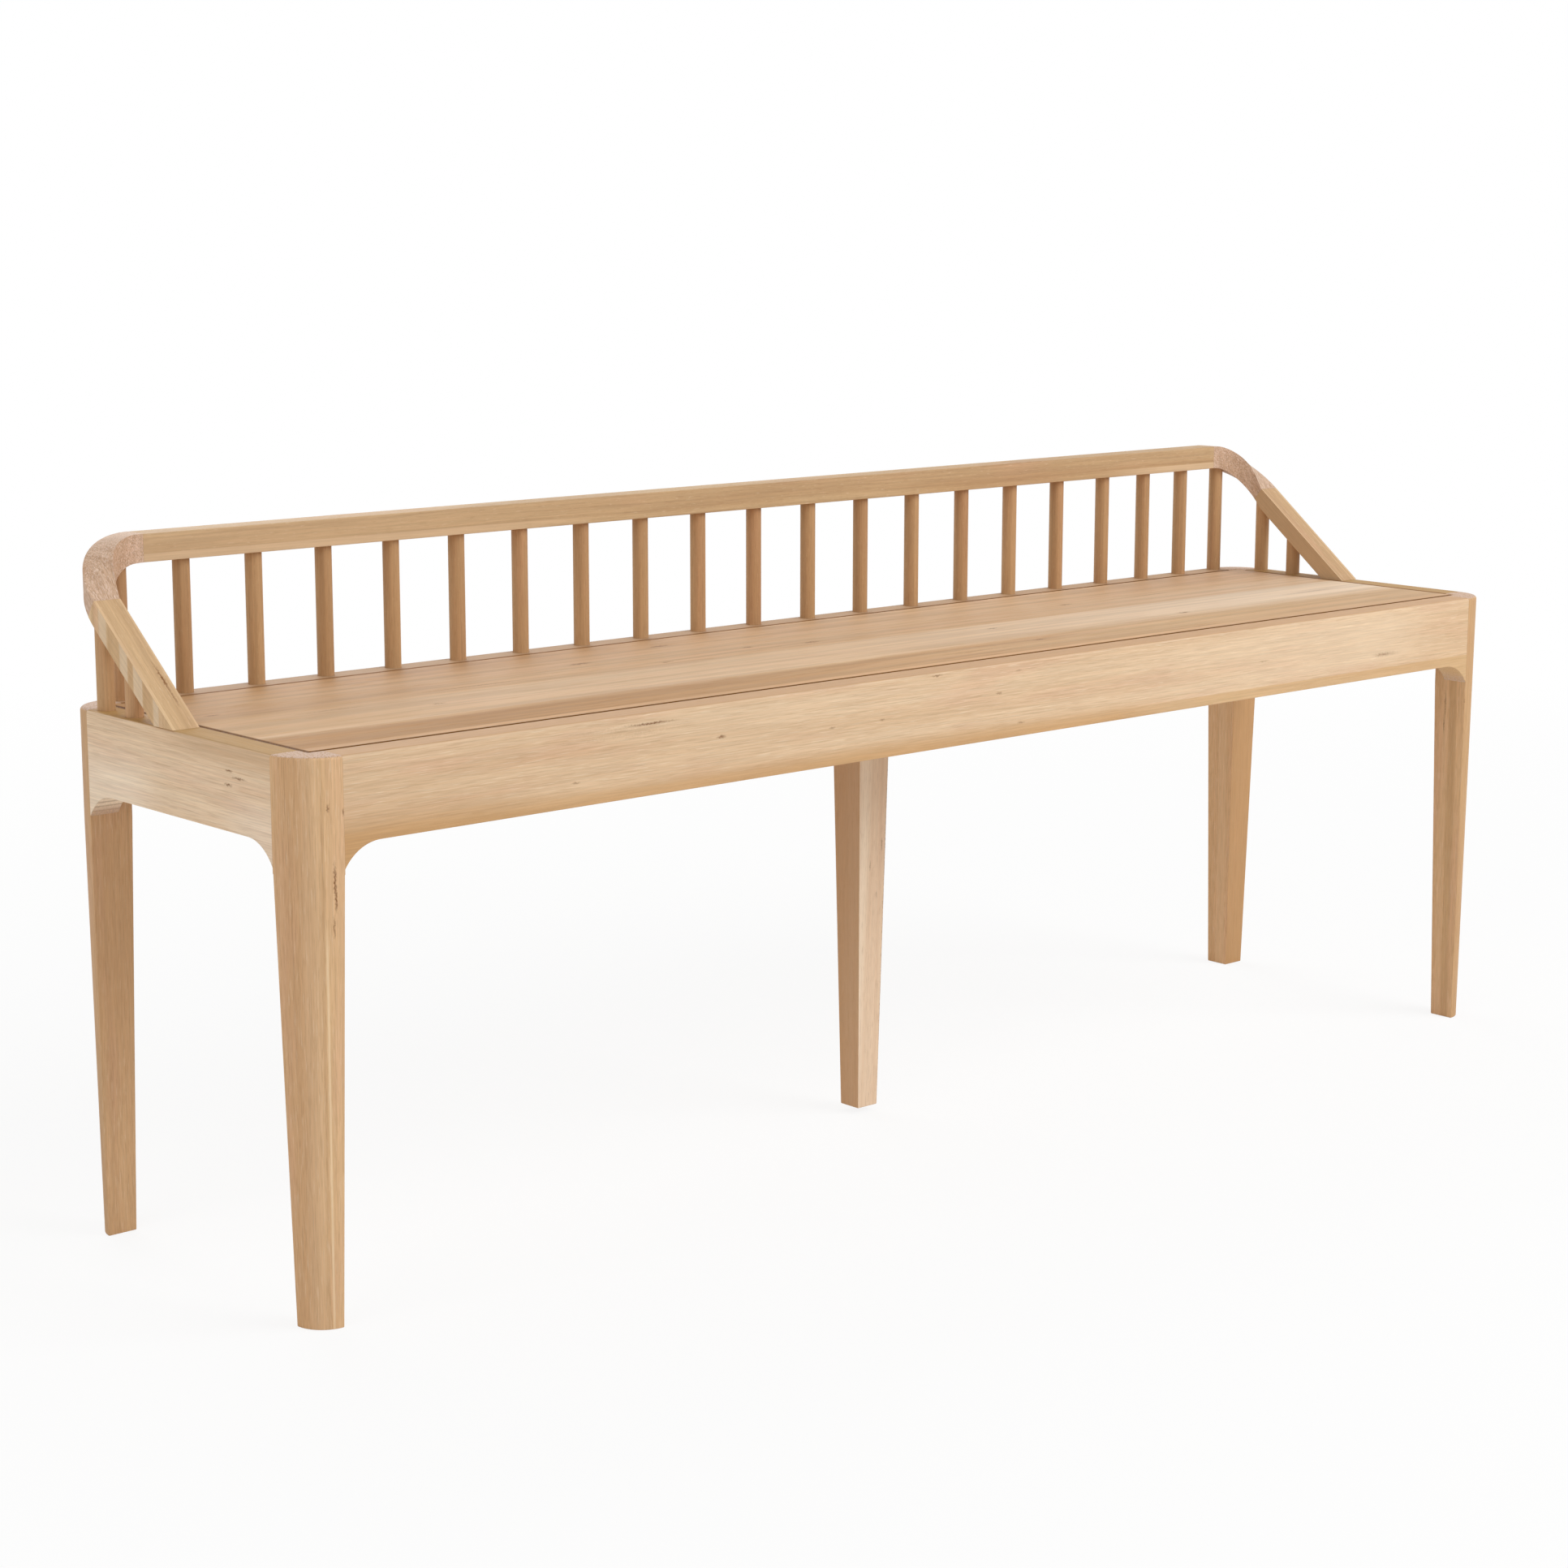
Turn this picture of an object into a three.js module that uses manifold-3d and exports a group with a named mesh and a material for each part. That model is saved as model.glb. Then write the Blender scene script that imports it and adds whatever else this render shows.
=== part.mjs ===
// A long oak bench with a low spindle back: five tapered legs, four aprons with curved
// brackets, an inset seat panel, and a back rail that turns at both ends and runs down
// into sloping arms.
//
// Millimetres, +Z up. X runs along the bench, the front is towards -Y, and the origin is
// on the floor under the middle of the bench.

import * as THREE from 'three';
import { mergeVertices } from 'three/addons/utils/BufferGeometryUtils.js';
import Module from 'manifold-3d';

const wasm = await Module();
wasm.setup();

// Overall size
const benchLength = 1500;
const benchDepth = 358;
const seatHeight = 460;
const railRise = 140.3;

// Fits
const glueLine = 0.1;
const fitClearance = 0.3;
const cutOverrun = 5;

// Corner legs: a quarter round on plan, plumb at the top and tapered below
const legWidth = 40;
const legPlumbLength = 94;
const legFootWidth = 27;
const legFootInset = 6;

// Aprons and the soft edge that runs round the top of the frame
const apronHeight = 70;
const longApronThickness = 28;
const endApronThickness = 27;
const bracketDrop = 20;
const bracketRadius = 40;
const rimRound = 3;
const tenonThickness = 10;
const tenonLength = 18;
const tenonHeight = 50;

// Seat panel, let in between the aprons with a narrow groove all round
const panelThickness = 20;
const panelGroove = 2;
const panelArris = 1;

// Bearers under the panel
const bearerWidth = 45;
const centreBearerWidth = 60;
const bearerThickness = 22;
const bearerTenonLength = 12;
const bearerTenonThickness = 10;
const bearerTenonShoulder = 8;
const sideBearerShare = 0.5;

// Glue blocks in the corners of the frame
const blockReach = 60;
const blockHeight = 36;

// Centre leg: square, tapered on all four faces, and a little short of the floor
const centreLegWidth = 40;
const centreLegFootWidth = 25;
const centreLegLift = 5.5;
const centreLegTenonWidth = 24;

// Back rail, bent corners and arms
const railWidth = 25;
const railThickness = 24.2;
const cornerRadius = 58;
const cornerRunOn = 10;
const cornerDrop = 46.9;
const cornerLift = 6;
const armThickness = 18;
const armReach = 177;
const armRunOn = 1;

// Spindles
const spindleDiameter = 15;
const spindleArris = 1;
const spindleSocket = 10;
const spindlePitch = 72;
const cornerSpindleInset = 49.5;
const firstSpindleGap = 61.5;
const lastGapShares = [0.35, 0.68];
const endSpindleInset = 51.5;
const endSpindlePitch = 45.5;

// Dowels
const railDowelDiameter = 8;
const railDowelLength = 40;
const railDowelLift = 1.5;
const footDowelDiameter = 8;
const footDowelLength = 20;
const footDowelSetback = 21;

// Facets
const roundFacets = 24;
const legFacets = 14;
const bracketFacets = 10;
const edgeFacets = 4;
const cornerFacets = 30;

// Levels and lines that several pieces share
const halfLength = benchLength / 2;
const halfDepth = benchDepth / 2;
const legInnerX = halfLength - legWidth;
const legInnerY = halfDepth - legWidth;
const apronBottom = seatHeight - apronHeight;
const tenonMiddle = apronBottom + apronHeight / 2;
const panelBottom = seatHeight - panelThickness;
const bearerBottom = panelBottom - bearerThickness;
const railTop = seatHeight + railRise;
const railBottom = railTop - railThickness;
const railLineY = halfDepth - railWidth / 2;
const armLineX = halfLength - railWidth / 2;
const railHalfLength = halfLength - cornerRadius - cornerRunOn;
const bendCentreX = halfLength - cornerRadius;
const bendCentreY = halfDepth - cornerRadius;
const bendLength = cornerRunOn + cornerRadius * Math.PI / 2;

// The arm's top line rises from its toe on the seat rim to the end of the bend
const armToeY = halfDepth - armReach;
const armSlope = (railRise - cornerDrop) / (bendCentreY - armToeY);
const armAngle = Math.atan(armSlope);
const armPlumbThickness = armThickness / Math.cos(armAngle);
const armTopAt = (y) => seatHeight + armSlope * (y - armToeY);
const armBottomAt = (y) => armTopAt(y) - armPlumbThickness;
const armDown = new THREE.Vector3(0, -Math.cos(armAngle), -Math.sin(armAngle));
const armJointY = bendCentreY - armRunOn;
const armJoint = new THREE.Vector3(armLineX, armJointY, armTopAt(armJointY));

// Oak in the tones of the boards: colour, roughness, metalness
const seatOak = oak('#cfae88', 0.62);
const frameOak = oak('#d3b08a', 0.6);
const legOak = oak('#c09a72', 0.6);
const railOak = oak('#b98f63', 0.58);
const bentOak = oak('#c2a083', 0.66);
const spindleOak = oak('#a9825a', 0.58);
const innerOak = oak('#c8ab86', 0.72);

function oak(colour, roughness) {
  return new THREE.MeshStandardMaterial({ color: colour, roughness, metalness: 0 });
}

// Geometry helpers

// A closed mesh with its faces turned outwards, whichever way round it was made.
function facingOut(geometry) {
  const points = geometry.attributes.position;
  const index = geometry.index.array;
  const [a, b, c] = [new THREE.Vector3(), new THREE.Vector3(), new THREE.Vector3()];
  let volume = 0;
  for (let i = 0; i < index.length; i += 3) {
    a.fromBufferAttribute(points, index[i]);
    b.fromBufferAttribute(points, index[i + 1]);
    c.fromBufferAttribute(points, index[i + 2]);
    volume += a.dot(b.cross(c));
  }
  if (volume < 0) {
    for (let i = 0; i < index.length; i += 3) {
      [index[i], index[i + 1]] = [index[i + 1], index[i]];
    }
  }
  geometry.computeVertexNormals();
  return geometry;
}

// The copy of a mesh on the other side of the bench's middle planes.
function mirrored(geometry, sideX, sideY = 1) {
  return facingOut(geometry.clone().scale(sideX, sideY, 1));
}

function toSolid(geometry) {
  const plain = geometry.clone();
  plain.deleteAttribute('normal');
  plain.deleteAttribute('uv');
  const merged = mergeVertices(plain);
  const vertProperties = new Float32Array(merged.attributes.position.array);
  const triVerts = new Uint32Array(merged.index.array);
  return new wasm.Manifold(new wasm.Mesh({ numProp: 3, vertProperties, triVerts }));
}

function toGeometry(solid) {
  const { vertProperties, triVerts } = solid.getMesh();
  const geometry = new THREE.BufferGeometry();
  geometry.setAttribute('position', new THREE.BufferAttribute(vertProperties, 3));
  geometry.setIndex(new THREE.BufferAttribute(triVerts, 1));
  geometry.computeVertexNormals();
  return geometry;
}

function cut(geometry, cutters) {
  const solid = cutters.reduce((rest, cutter) => rest.subtract(toSolid(cutter)), toSolid(geometry));
  return toGeometry(solid);
}

function joined(geometry, additions) {
  const solid = additions.reduce((whole, piece) => whole.add(toSolid(piece)), toSolid(geometry));
  return toGeometry(solid);
}

// A box between two values on each axis.
function block([x0, x1], [y0, y1], [z0, z1]) {
  const geometry = new THREE.BoxGeometry(x1 - x0, y1 - y0, z1 - z0);
  return geometry.translate((x0 + x1) / 2, (y0 + y1) / 2, (z0 + z1) / 2);
}

// A box of the given sizes about a centre, grown by the same amount on every face.
function blockAbout(centre, size, grow = 0) {
  const geometry = new THREE.BoxGeometry(size.x + grow * 2, size.y + grow * 2, size.z + grow * 2);
  return geometry.translate(centre.x, centre.y, centre.z);
}

// An upright round bar between two heights.
function uprightBar(radius, x, y, bottom, top) {
  const geometry = new THREE.CylinderGeometry(radius, radius, top - bottom, roundFacets);
  geometry.rotateX(Math.PI / 2);
  return geometry.translate(x, y, (bottom + top) / 2);
}

// A round bar along X about a centre.
function lyingBar(radius, length, centre) {
  const geometry = new THREE.CylinderGeometry(radius, radius, length, roundFacets);
  geometry.rotateZ(Math.PI / 2);
  return geometry.translate(centre.x, centre.y, centre.z);
}

// A skin through rings of equal point counts, closed by a fan from each end's first point.
function loft(rings) {
  const count = rings[0].length;
  const last = (rings.length - 1) * count;
  const faces = [];
  for (let start = 0; start < last; start += count) {
    for (let i = 0; i < count; i += 1) {
      const a = start + i;
      const b = start + ((i + 1) % count);
      faces.push(a, b, b + count, a, b + count, a + count);
    }
  }
  for (let i = 1; i + 1 < count; i += 1) {
    faces.push(0, i + 1, i, last, last + i, last + i + 1);
  }
  const geometry = new THREE.BufferGeometry().setFromPoints(rings.flat());
  geometry.setIndex(faces);
  return facingOut(geometry);
}

// A profile drawn on the YZ plane, drawn out along X between two values.
function extrudedAlongX(shape, x0, x1) {
  const geometry = new THREE.ExtrudeGeometry(shape, { depth: x1 - x0, bevelEnabled: false, curveSegments: edgeFacets });
  geometry.applyMatrix4(new THREE.Matrix4().makeBasis(
    new THREE.Vector3(0, 1, 0),
    new THREE.Vector3(0, 0, 1),
    new THREE.Vector3(1, 0, 0),
  ));
  return geometry.translate(x0, 0, 0);
}

function polygon(points) {
  return new THREE.Shape(points.map(([x, y]) => new THREE.Vector2(x, y)));
}

// Corner legs

// One level of the leg: its inner corner, then the quarter round from one face to the other.
function legRing(level, innerOffset, radius) {
  const cornerX = halfLength - innerOffset;
  const cornerY = halfDepth - innerOffset;
  const ring = [new THREE.Vector3(cornerX, cornerY, level)];
  for (let i = 0; i <= legFacets; i += 1) {
    const turn = (i / legFacets) * Math.PI / 2;
    ring.push(new THREE.Vector3(cornerX + radius * Math.cos(turn), cornerY + radius * Math.sin(turn), level));
  }
  return ring;
}

function legBlank() {
  const rings = [
    legRing(0, legFootWidth + legFootInset, legFootWidth),
    legRing(seatHeight - legPlumbLength, legWidth, legWidth),
  ];
  for (let i = 0; i <= edgeFacets; i += 1) {
    const turn = (i / edgeFacets) * Math.PI / 2;
    const level = seatHeight - rimRound * (1 - Math.sin(turn));
    rings.push(legRing(level, legWidth, legWidth - rimRound * (1 - Math.cos(turn))));
  }
  return loft(rings);
}

// The rebate in the leg's top that takes the corner of the seat panel and its groove.
function panelCornerNotch() {
  return block(
    [legInnerX - cutOverrun, halfLength - endApronThickness],
    [legInnerY - cutOverrun, halfDepth - longApronThickness],
    [panelBottom - glueLine, seatHeight + cutOverrun],
  );
}

// The tenons on the aprons' ends, or their mortises in the leg when grown by the clearance.
function longApronTenon(grow = 0) {
  const centre = new THREE.Vector3(legInnerX, halfDepth - longApronThickness / 2, tenonMiddle);
  return blockAbout(centre, new THREE.Vector3(tenonLength * 2, tenonThickness, tenonHeight), grow);
}

function endApronTenon(grow = 0) {
  const centre = new THREE.Vector3(halfLength - endApronThickness / 2, legInnerY, tenonMiddle);
  return blockAbout(centre, new THREE.Vector3(tenonThickness, tenonLength * 2, tenonHeight), grow);
}

function cornerLeg(sideX, sideY) {
  const cutters = [panelCornerNotch(), longApronTenon(fitClearance), endApronTenon(fitClearance)];
  return mirrored(cut(legBlank(), cutters), sideX, sideY);
}

// Aprons

// The elevation of an apron: level on top, with a concave bracket down to the leg at each end.
function apronElevation(halfSpan) {
  const reach = Math.sqrt(bracketRadius ** 2 - (bracketRadius - bracketDrop) ** 2);
  const arcCentreZ = apronBottom - bracketRadius;
  const legEnd = Math.asin((bracketRadius - bracketDrop) / bracketRadius);
  const shape = new THREE.Shape();
  shape.moveTo(halfSpan, seatHeight);
  shape.lineTo(-halfSpan, seatHeight);
  shape.absarc(-halfSpan + reach, arcCentreZ, bracketRadius, Math.PI - legEnd, Math.PI / 2, true);
  shape.absarc(halfSpan - reach, arcCentreZ, bracketRadius, Math.PI / 2, legEnd, true);
  shape.closePath();
  return shape;
}

// The apron's cross-section with its soft outer top edge, the outer face towards -Y.
function apronSection(outerY, thickness) {
  const shape = new THREE.Shape();
  shape.moveTo(outerY, apronBottom - bracketDrop - cutOverrun);
  shape.lineTo(outerY + thickness, apronBottom - bracketDrop - cutOverrun);
  shape.lineTo(outerY + thickness, seatHeight);
  shape.absarc(outerY + rimRound, seatHeight - rimRound, rimRound, Math.PI / 2, Math.PI, false);
  shape.closePath();
  return shape;
}

// An apron along X with its outer face at -outer, its section trimmed to its elevation.
function apronBlank(halfSpan, outer, thickness) {
  const long = extrudedAlongX(apronSection(-outer, thickness), -halfSpan, halfSpan);
  const flat = new THREE.ExtrudeGeometry(apronElevation(halfSpan), {
    depth: thickness + cutOverrun * 2,
    bevelEnabled: false,
    curveSegments: bracketFacets,
  });
  flat.rotateX(Math.PI / 2);
  flat.translate(0, -outer + thickness + cutOverrun, 0);
  return toGeometry(toSolid(long).intersect(toSolid(flat)));
}

function longApron(sideY) {
  const blank = apronBlank(legInnerX - glueLine, halfDepth, longApronThickness);
  const tenons = [1, -1].map((sideX) => mirrored(longApronTenon(), sideX, -1));
  const whole = joined(blank, tenons);
  const mortises = bearers().map((bearer) => bearerTenon(bearer, -1, fitClearance));
  return mirrored(cut(whole, mortises), 1, -sideY);
}

function endApron(sideX) {
  const blank = apronBlank(legInnerY - glueLine, halfLength, endApronThickness).rotateZ(Math.PI / 2);
  const tenons = [1, -1].map((sideY) => mirrored(endApronTenon(), 1, sideY));
  const sockets = endSpindles().map(({ y }) => rimSocket(armLineX, y));
  sockets.push(footDowel(fitClearance));
  return mirrored(cut(joined(blank, tenons), sockets), sideX);
}

// Seat panel

function seatPanel() {
  const halfWidth = halfLength - endApronThickness - panelGroove;
  const halfPanelDepth = halfDepth - longApronThickness - panelGroove;
  const outline = polygon([
    [-halfWidth, -halfPanelDepth],
    [halfWidth, -halfPanelDepth],
    [halfWidth, halfPanelDepth],
    [-halfWidth, halfPanelDepth],
  ]);
  const geometry = new THREE.ExtrudeGeometry(outline, {
    depth: panelThickness - panelArris * 2,
    bevelThickness: panelArris,
    bevelSize: panelArris,
    bevelOffset: -panelArris,
    bevelSegments: 1,
  });
  return geometry.translate(0, 0, panelBottom + panelArris);
}

// Bearers

function bearers() {
  const sideX = halfLength * sideBearerShare;
  return [
    { name: 'left_cross_bearer', x: -sideX, width: bearerWidth },
    { name: 'centre_cross_bearer', x: 0, width: centreBearerWidth },
    { name: 'right_cross_bearer', x: sideX, width: bearerWidth },
  ];
}

function bearerTenon({ x, width }, sideY, grow = 0) {
  const centre = new THREE.Vector3(x, sideY * (halfDepth - longApronThickness), panelBottom - bearerThickness / 2);
  const tenonWidth = width - bearerTenonShoulder * 2;
  return blockAbout(centre, new THREE.Vector3(tenonWidth, bearerTenonLength * 2, bearerTenonThickness), grow);
}

function centreLegTenon(grow = 0) {
  const size = new THREE.Vector3(centreLegTenonWidth, centreLegTenonWidth, bearerThickness * 2 - glueLine * 2);
  return blockAbout(new THREE.Vector3(0, 0, bearerBottom), size, grow);
}

function crossBearer(bearer) {
  const halfSpan = halfDepth - longApronThickness - glueLine;
  const bar = block(
    [bearer.x - bearer.width / 2, bearer.x + bearer.width / 2],
    [-halfSpan, halfSpan],
    [bearerBottom, panelBottom - glueLine],
  );
  const whole = joined(bar, [1, -1].map((sideY) => bearerTenon(bearer, sideY)));
  return bearer.x === 0 ? cut(whole, [centreLegTenon(fitClearance)]) : whole;
}

// Centre leg

function centreLeg() {
  const ring = (width, level) => [[1, 1], [-1, 1], [-1, -1], [1, -1]].map(
    ([sideX, sideY]) => new THREE.Vector3(sideX * width / 2, sideY * width / 2, level),
  );
  const taper = loft([ring(centreLegFootWidth, centreLegLift), ring(centreLegWidth, bearerBottom - glueLine)]);
  return joined(taper, [centreLegTenon()]);
}

// Glue blocks

// A three-cornered block against both aprons, notched round the leg's inner corner.
function glueBlock(sideX, sideY) {
  const faceX = halfLength - endApronThickness - glueLine;
  const faceY = halfDepth - longApronThickness - glueLine;
  const legX = legInnerX - glueLine;
  const legY = legInnerY - glueLine;
  const outline = polygon([
    [faceX, legY],
    [legX, legY],
    [legX, faceY],
    [faceX - blockReach, faceY],
    [faceX, faceY - blockReach],
  ]);
  const geometry = new THREE.ExtrudeGeometry(outline, { depth: blockHeight, bevelEnabled: false });
  geometry.translate(0, 0, bearerBottom + bearerThickness - glueLine - blockHeight);
  return mirrored(toGeometry(toSolid(geometry)), sideX, sideY);
}

// Bent corners of the back rail

// Height lost along the bend: level at the rail, at the arm's own slope where it meets the arm.
function easedDrop(share, drop) {
  const endDrop = armSlope * bendLength;
  return share ** 2 * (3 * drop - endDrop) + share ** 3 * (endDrop - 2 * drop);
}

const bendTopAt = (share) => railTop - easedDrop(share, railTop - armTopAt(bendCentreY));
const bendBottomAt = (share) => railBottom - easedDrop(share, railBottom - armBottomAt(bendCentreY));

// One section across the bend, from its outer wall to its inner wall.
function bendRing(outer, inner, top, innerTop, bottom) {
  return [
    new THREE.Vector3(outer.x, outer.y, bottom),
    new THREE.Vector3(outer.x, outer.y, top),
    new THREE.Vector3(inner.x, inner.y, innerTop),
    new THREE.Vector3(inner.x, inner.y, bottom),
  ];
}

// The section after a share of the bend's length: a short level run, then the quarter turn.
function bendSection(share) {
  const run = share * bendLength;
  const turn = Math.max(0, (run - cornerRunOn) / cornerRadius);
  const runX = Math.min(0, run - cornerRunOn);
  const wall = (radius) => ({
    x: bendCentreX + runX + radius * Math.sin(turn),
    y: bendCentreY + radius * Math.cos(turn),
  });
  const lift = cornerLift * Math.sin(Math.PI * share ** 2);
  const top = bendTopAt(share);
  return bendRing(wall(cornerRadius), wall(cornerRadius - railWidth), top, top + lift, bendBottomAt(share));
}

// The section at the far end of the arm's straight run, below the rim in front of the toe.
function armEndSection() {
  const y = armToeY - armThickness;
  const top = armTopAt(y);
  return bendRing({ x: halfLength, y }, { x: halfLength - railWidth, y }, top, top, armBottomAt(y));
}

// One skin from the rail joint round the bend and down the arm, so that the two pieces
// cut from it run into each other without a step.
function bendAndArm() {
  const rings = [];
  for (let i = 0; i <= cornerFacets; i += 1) {
    rings.push(bendSection(i / cornerFacets));
  }
  rings.push(armEndSection());
  return loft(rings);
}

// Everything on one side of the joint, which is square to the arm: the arm's side for 1,
// the bend's side for -1.
function sideOfJoint(facing) {
  const size = benchDepth;
  const geometry = new THREE.BoxGeometry(size, size, size);
  geometry.rotateX(armAngle);
  const middle = armJoint.clone().addScaledVector(armDown, facing * (size - glueLine) / 2);
  return geometry.translate(middle.x, middle.y, middle.z);
}

function bentCorner(sideX) {
  const sockets = [
    ...endSpindles(),
    { x: halfLength - cornerSpindleInset, y: railLineY },
  ].map(({ x, y }) => topSocket(x, y));
  const whole = cut(bendAndArm(), [sideOfJoint(1), railDowel(fitClearance), ...sockets]);
  return mirrored(whole, sideX);
}

// Back rail

function backRail() {
  const halfSpan = railHalfLength - glueLine;
  const bar = block([-halfSpan, halfSpan], [halfDepth - railWidth, halfDepth], [railBottom, railTop]);
  const sockets = backSpindles().slice(1, -1).map(({ x, y }) => topSocket(x, y));
  const dowels = [1, -1].map((sideX) => mirrored(railDowel(fitClearance), sideX));
  return cut(bar, [...sockets, ...dowels]);
}

// Arms

// The space under the arm's foot, which stands flat on the rim.
function belowFoot() {
  return block(
    [legInnerX, halfLength + cutOverrun],
    [-halfDepth, halfDepth],
    [0, seatHeight + glueLine],
  );
}

function arm(sideX) {
  const sockets = endSpindles().map(({ x, y }) => topSocket(x, y));
  const cutters = [sideOfJoint(-1), belowFoot(), footDowel(fitClearance), ...sockets];
  return mirrored(cut(bendAndArm(), cutters), sideX);
}

// Spindles and their sockets

// The row along the back: one under each bent corner, a steady pitch from the left, and
// the last stretch shared out to meet the right-hand corner.
function backSpindles() {
  const end = halfLength - cornerSpindleInset;
  const first = -end + firstSpindleGap;
  const lastShares = lastGapShares.length;
  const steps = Math.max(1, Math.floor((end - first) / spindlePitch) - lastShares);
  const row = [-end];
  for (let i = 0; i <= steps; i += 1) {
    row.push(first + i * spindlePitch);
  }
  const rest = end - row[row.length - 1];
  const shared = lastGapShares.map((share) => end - rest * (1 - share));
  return [...row, ...shared, end].map((x) => ({ x, y: railLineY }));
}

// The two short spindles under the right-hand arm.
function endSpindles() {
  const back = halfDepth - endSpindleInset;
  return [back, back - endSpindlePitch].map((y) => ({ x: armLineX, y }));
}

// The underside of the rail, the bend or the arm above a point of the rim.
function undersideAt(x, y) {
  const reachX = Math.abs(x);
  if (reachX <= railHalfLength) return railBottom;
  if (y <= bendCentreY) return armBottomAt(y);
  const turn = Math.max(0, Math.atan2(reachX - bendCentreX, y - bendCentreY));
  const run = Math.min(0, reachX - bendCentreX) + cornerRunOn + cornerRadius * turn;
  return bendBottomAt(run / bendLength);
}

function topSocket(x, y) {
  const underside = undersideAt(x, y);
  const radius = spindleDiameter / 2 + fitClearance;
  return uprightBar(radius, x, y, underside - railThickness, underside + spindleSocket + fitClearance);
}

function rimSocket(x, y) {
  const radius = spindleDiameter / 2 + fitClearance;
  return uprightBar(radius, x, y, seatHeight - spindleSocket - fitClearance, seatHeight + cutOverrun);
}

function spindle(length) {
  const radius = spindleDiameter / 2;
  const profile = [
    [0, 0],
    [radius - spindleArris, 0],
    [radius, spindleArris],
    [radius, length - spindleArris],
    [radius - spindleArris, length],
    [0, length],
  ].map(([x, y]) => new THREE.Vector2(x, y));
  return new THREE.LatheGeometry(profile, roundFacets).rotateX(Math.PI / 2);
}

// Dowels, or their holes when grown by the clearance

function railDowel(grow = 0) {
  const centre = new THREE.Vector3(railHalfLength, railLineY, (railTop + railBottom) / 2 + railDowelLift);
  return lyingBar(railDowelDiameter / 2 + grow, railDowelLength + grow * 2, centre);
}

function footDowel(grow = 0) {
  const half = footDowelLength / 2 + grow;
  const y = armToeY + footDowelSetback;
  return uprightBar(footDowelDiameter / 2 + grow, armLineX, y, seatHeight - half, seatHeight + half);
}

// The bench

const bench = new THREE.Group();

function addPiece(name, geometry, material) {
  const mesh = new THREE.Mesh(geometry, material.clone());
  mesh.name = name;
  bench.add(mesh);
  return mesh;
}

function addSpindle(name, { x, y }) {
  const bottom = seatHeight - spindleSocket;
  const top = undersideAt(x, y) + spindleSocket;
  addPiece(name, spindle(top - bottom), spindleOak).position.set(x, y, bottom);
}

const sides = [['left', -1], ['right', 1]];
const faces = [['front', -1], ['back', 1]];

addPiece('seat_panel', seatPanel(), seatOak);

for (const [face, sideY] of faces) {
  const apron = longApron(sideY);
  const sockets = backSpindles().map(({ x, y }) => rimSocket(x, y));
  addPiece(`${face}_apron`, sideY > 0 ? cut(apron, sockets) : apron, frameOak);
}

for (const [side, sideX] of sides) {
  addPiece(`${side}_end_apron`, endApron(sideX), frameOak);
  for (const [face, sideY] of faces) {
    addPiece(`${face}_${side}_leg`, cornerLeg(sideX, sideY), legOak);
    addPiece(`${face}_${side}_glue_block`, glueBlock(sideX, sideY), innerOak);
  }
}

addPiece('centre_leg', centreLeg(), legOak);
for (const bearer of bearers()) {
  addPiece(bearer.name, crossBearer(bearer), innerOak);
}

addPiece('back_rail', backRail(), railOak);
for (const [side, sideX] of sides) {
  addPiece(`${side}_bent_corner`, bentCorner(sideX), bentOak);
  addPiece(`${side}_arm`, arm(sideX), railOak);
  addPiece(`${side}_rail_dowel`, mirrored(railDowel(), sideX), innerOak);
  addPiece(`${side}_arm_foot_dowel`, mirrored(footDowel(), sideX), innerOak);
  endSpindles().forEach(({ x, y }, i) => addSpindle(`${side}_end_spindle_${i + 1}`, { x: sideX * x, y }));
}

backSpindles().forEach((place, i) => {
  addSpindle(`back_spindle_${String(i + 1).padStart(2, '0')}`, place);
});

export default bench;
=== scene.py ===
"""An oak bench with a low spindle back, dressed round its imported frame.

Every wooden piece is taken from the frame, its free arrises are eased as a joiner would
with sandpaper, and it gets oak whose grain runs the way that piece was sawn. Metres, +Z up,
X along the bench and the front towards -Y, as in the frame.
"""

import logging
import math
import random
from dataclasses import dataclass, field, replace
from enum import Enum

import bmesh
import bpy
from bpy.types import Material, Mesh, Node, NodeSocket, NodeTree, Object, World
from mathutils import Matrix, Vector
from mathutils.bvhtree import BVHTree


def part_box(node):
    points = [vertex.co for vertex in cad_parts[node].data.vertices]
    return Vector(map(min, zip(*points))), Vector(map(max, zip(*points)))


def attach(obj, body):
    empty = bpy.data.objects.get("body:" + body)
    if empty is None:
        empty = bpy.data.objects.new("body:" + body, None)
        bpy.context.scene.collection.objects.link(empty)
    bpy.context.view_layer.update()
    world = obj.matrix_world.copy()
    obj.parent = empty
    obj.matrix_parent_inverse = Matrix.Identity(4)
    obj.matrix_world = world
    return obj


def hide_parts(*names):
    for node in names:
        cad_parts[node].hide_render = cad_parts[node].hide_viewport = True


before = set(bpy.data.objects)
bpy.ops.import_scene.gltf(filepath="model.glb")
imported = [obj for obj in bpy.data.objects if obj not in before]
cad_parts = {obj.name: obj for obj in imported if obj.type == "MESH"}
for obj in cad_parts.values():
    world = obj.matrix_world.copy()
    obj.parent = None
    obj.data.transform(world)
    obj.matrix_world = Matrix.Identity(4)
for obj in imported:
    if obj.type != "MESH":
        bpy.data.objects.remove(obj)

log = logging.getLogger("bench")

MM = 0.001
ROOT_BODY = "root"
UP = Vector((0, 0, 1))
HALF = Vector((0.5, 0.5, 0.5))
WHITE = (1.0, 1.0, 1.0, 1.0)

# What feeds a node's input, a colour, and a layer: how far it covers what is under it, and its colour.
Source = Node | NodeSocket
Tone = Source | tuple[float, float, float, float]
Layer = tuple[Source | float, Tone]

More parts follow.
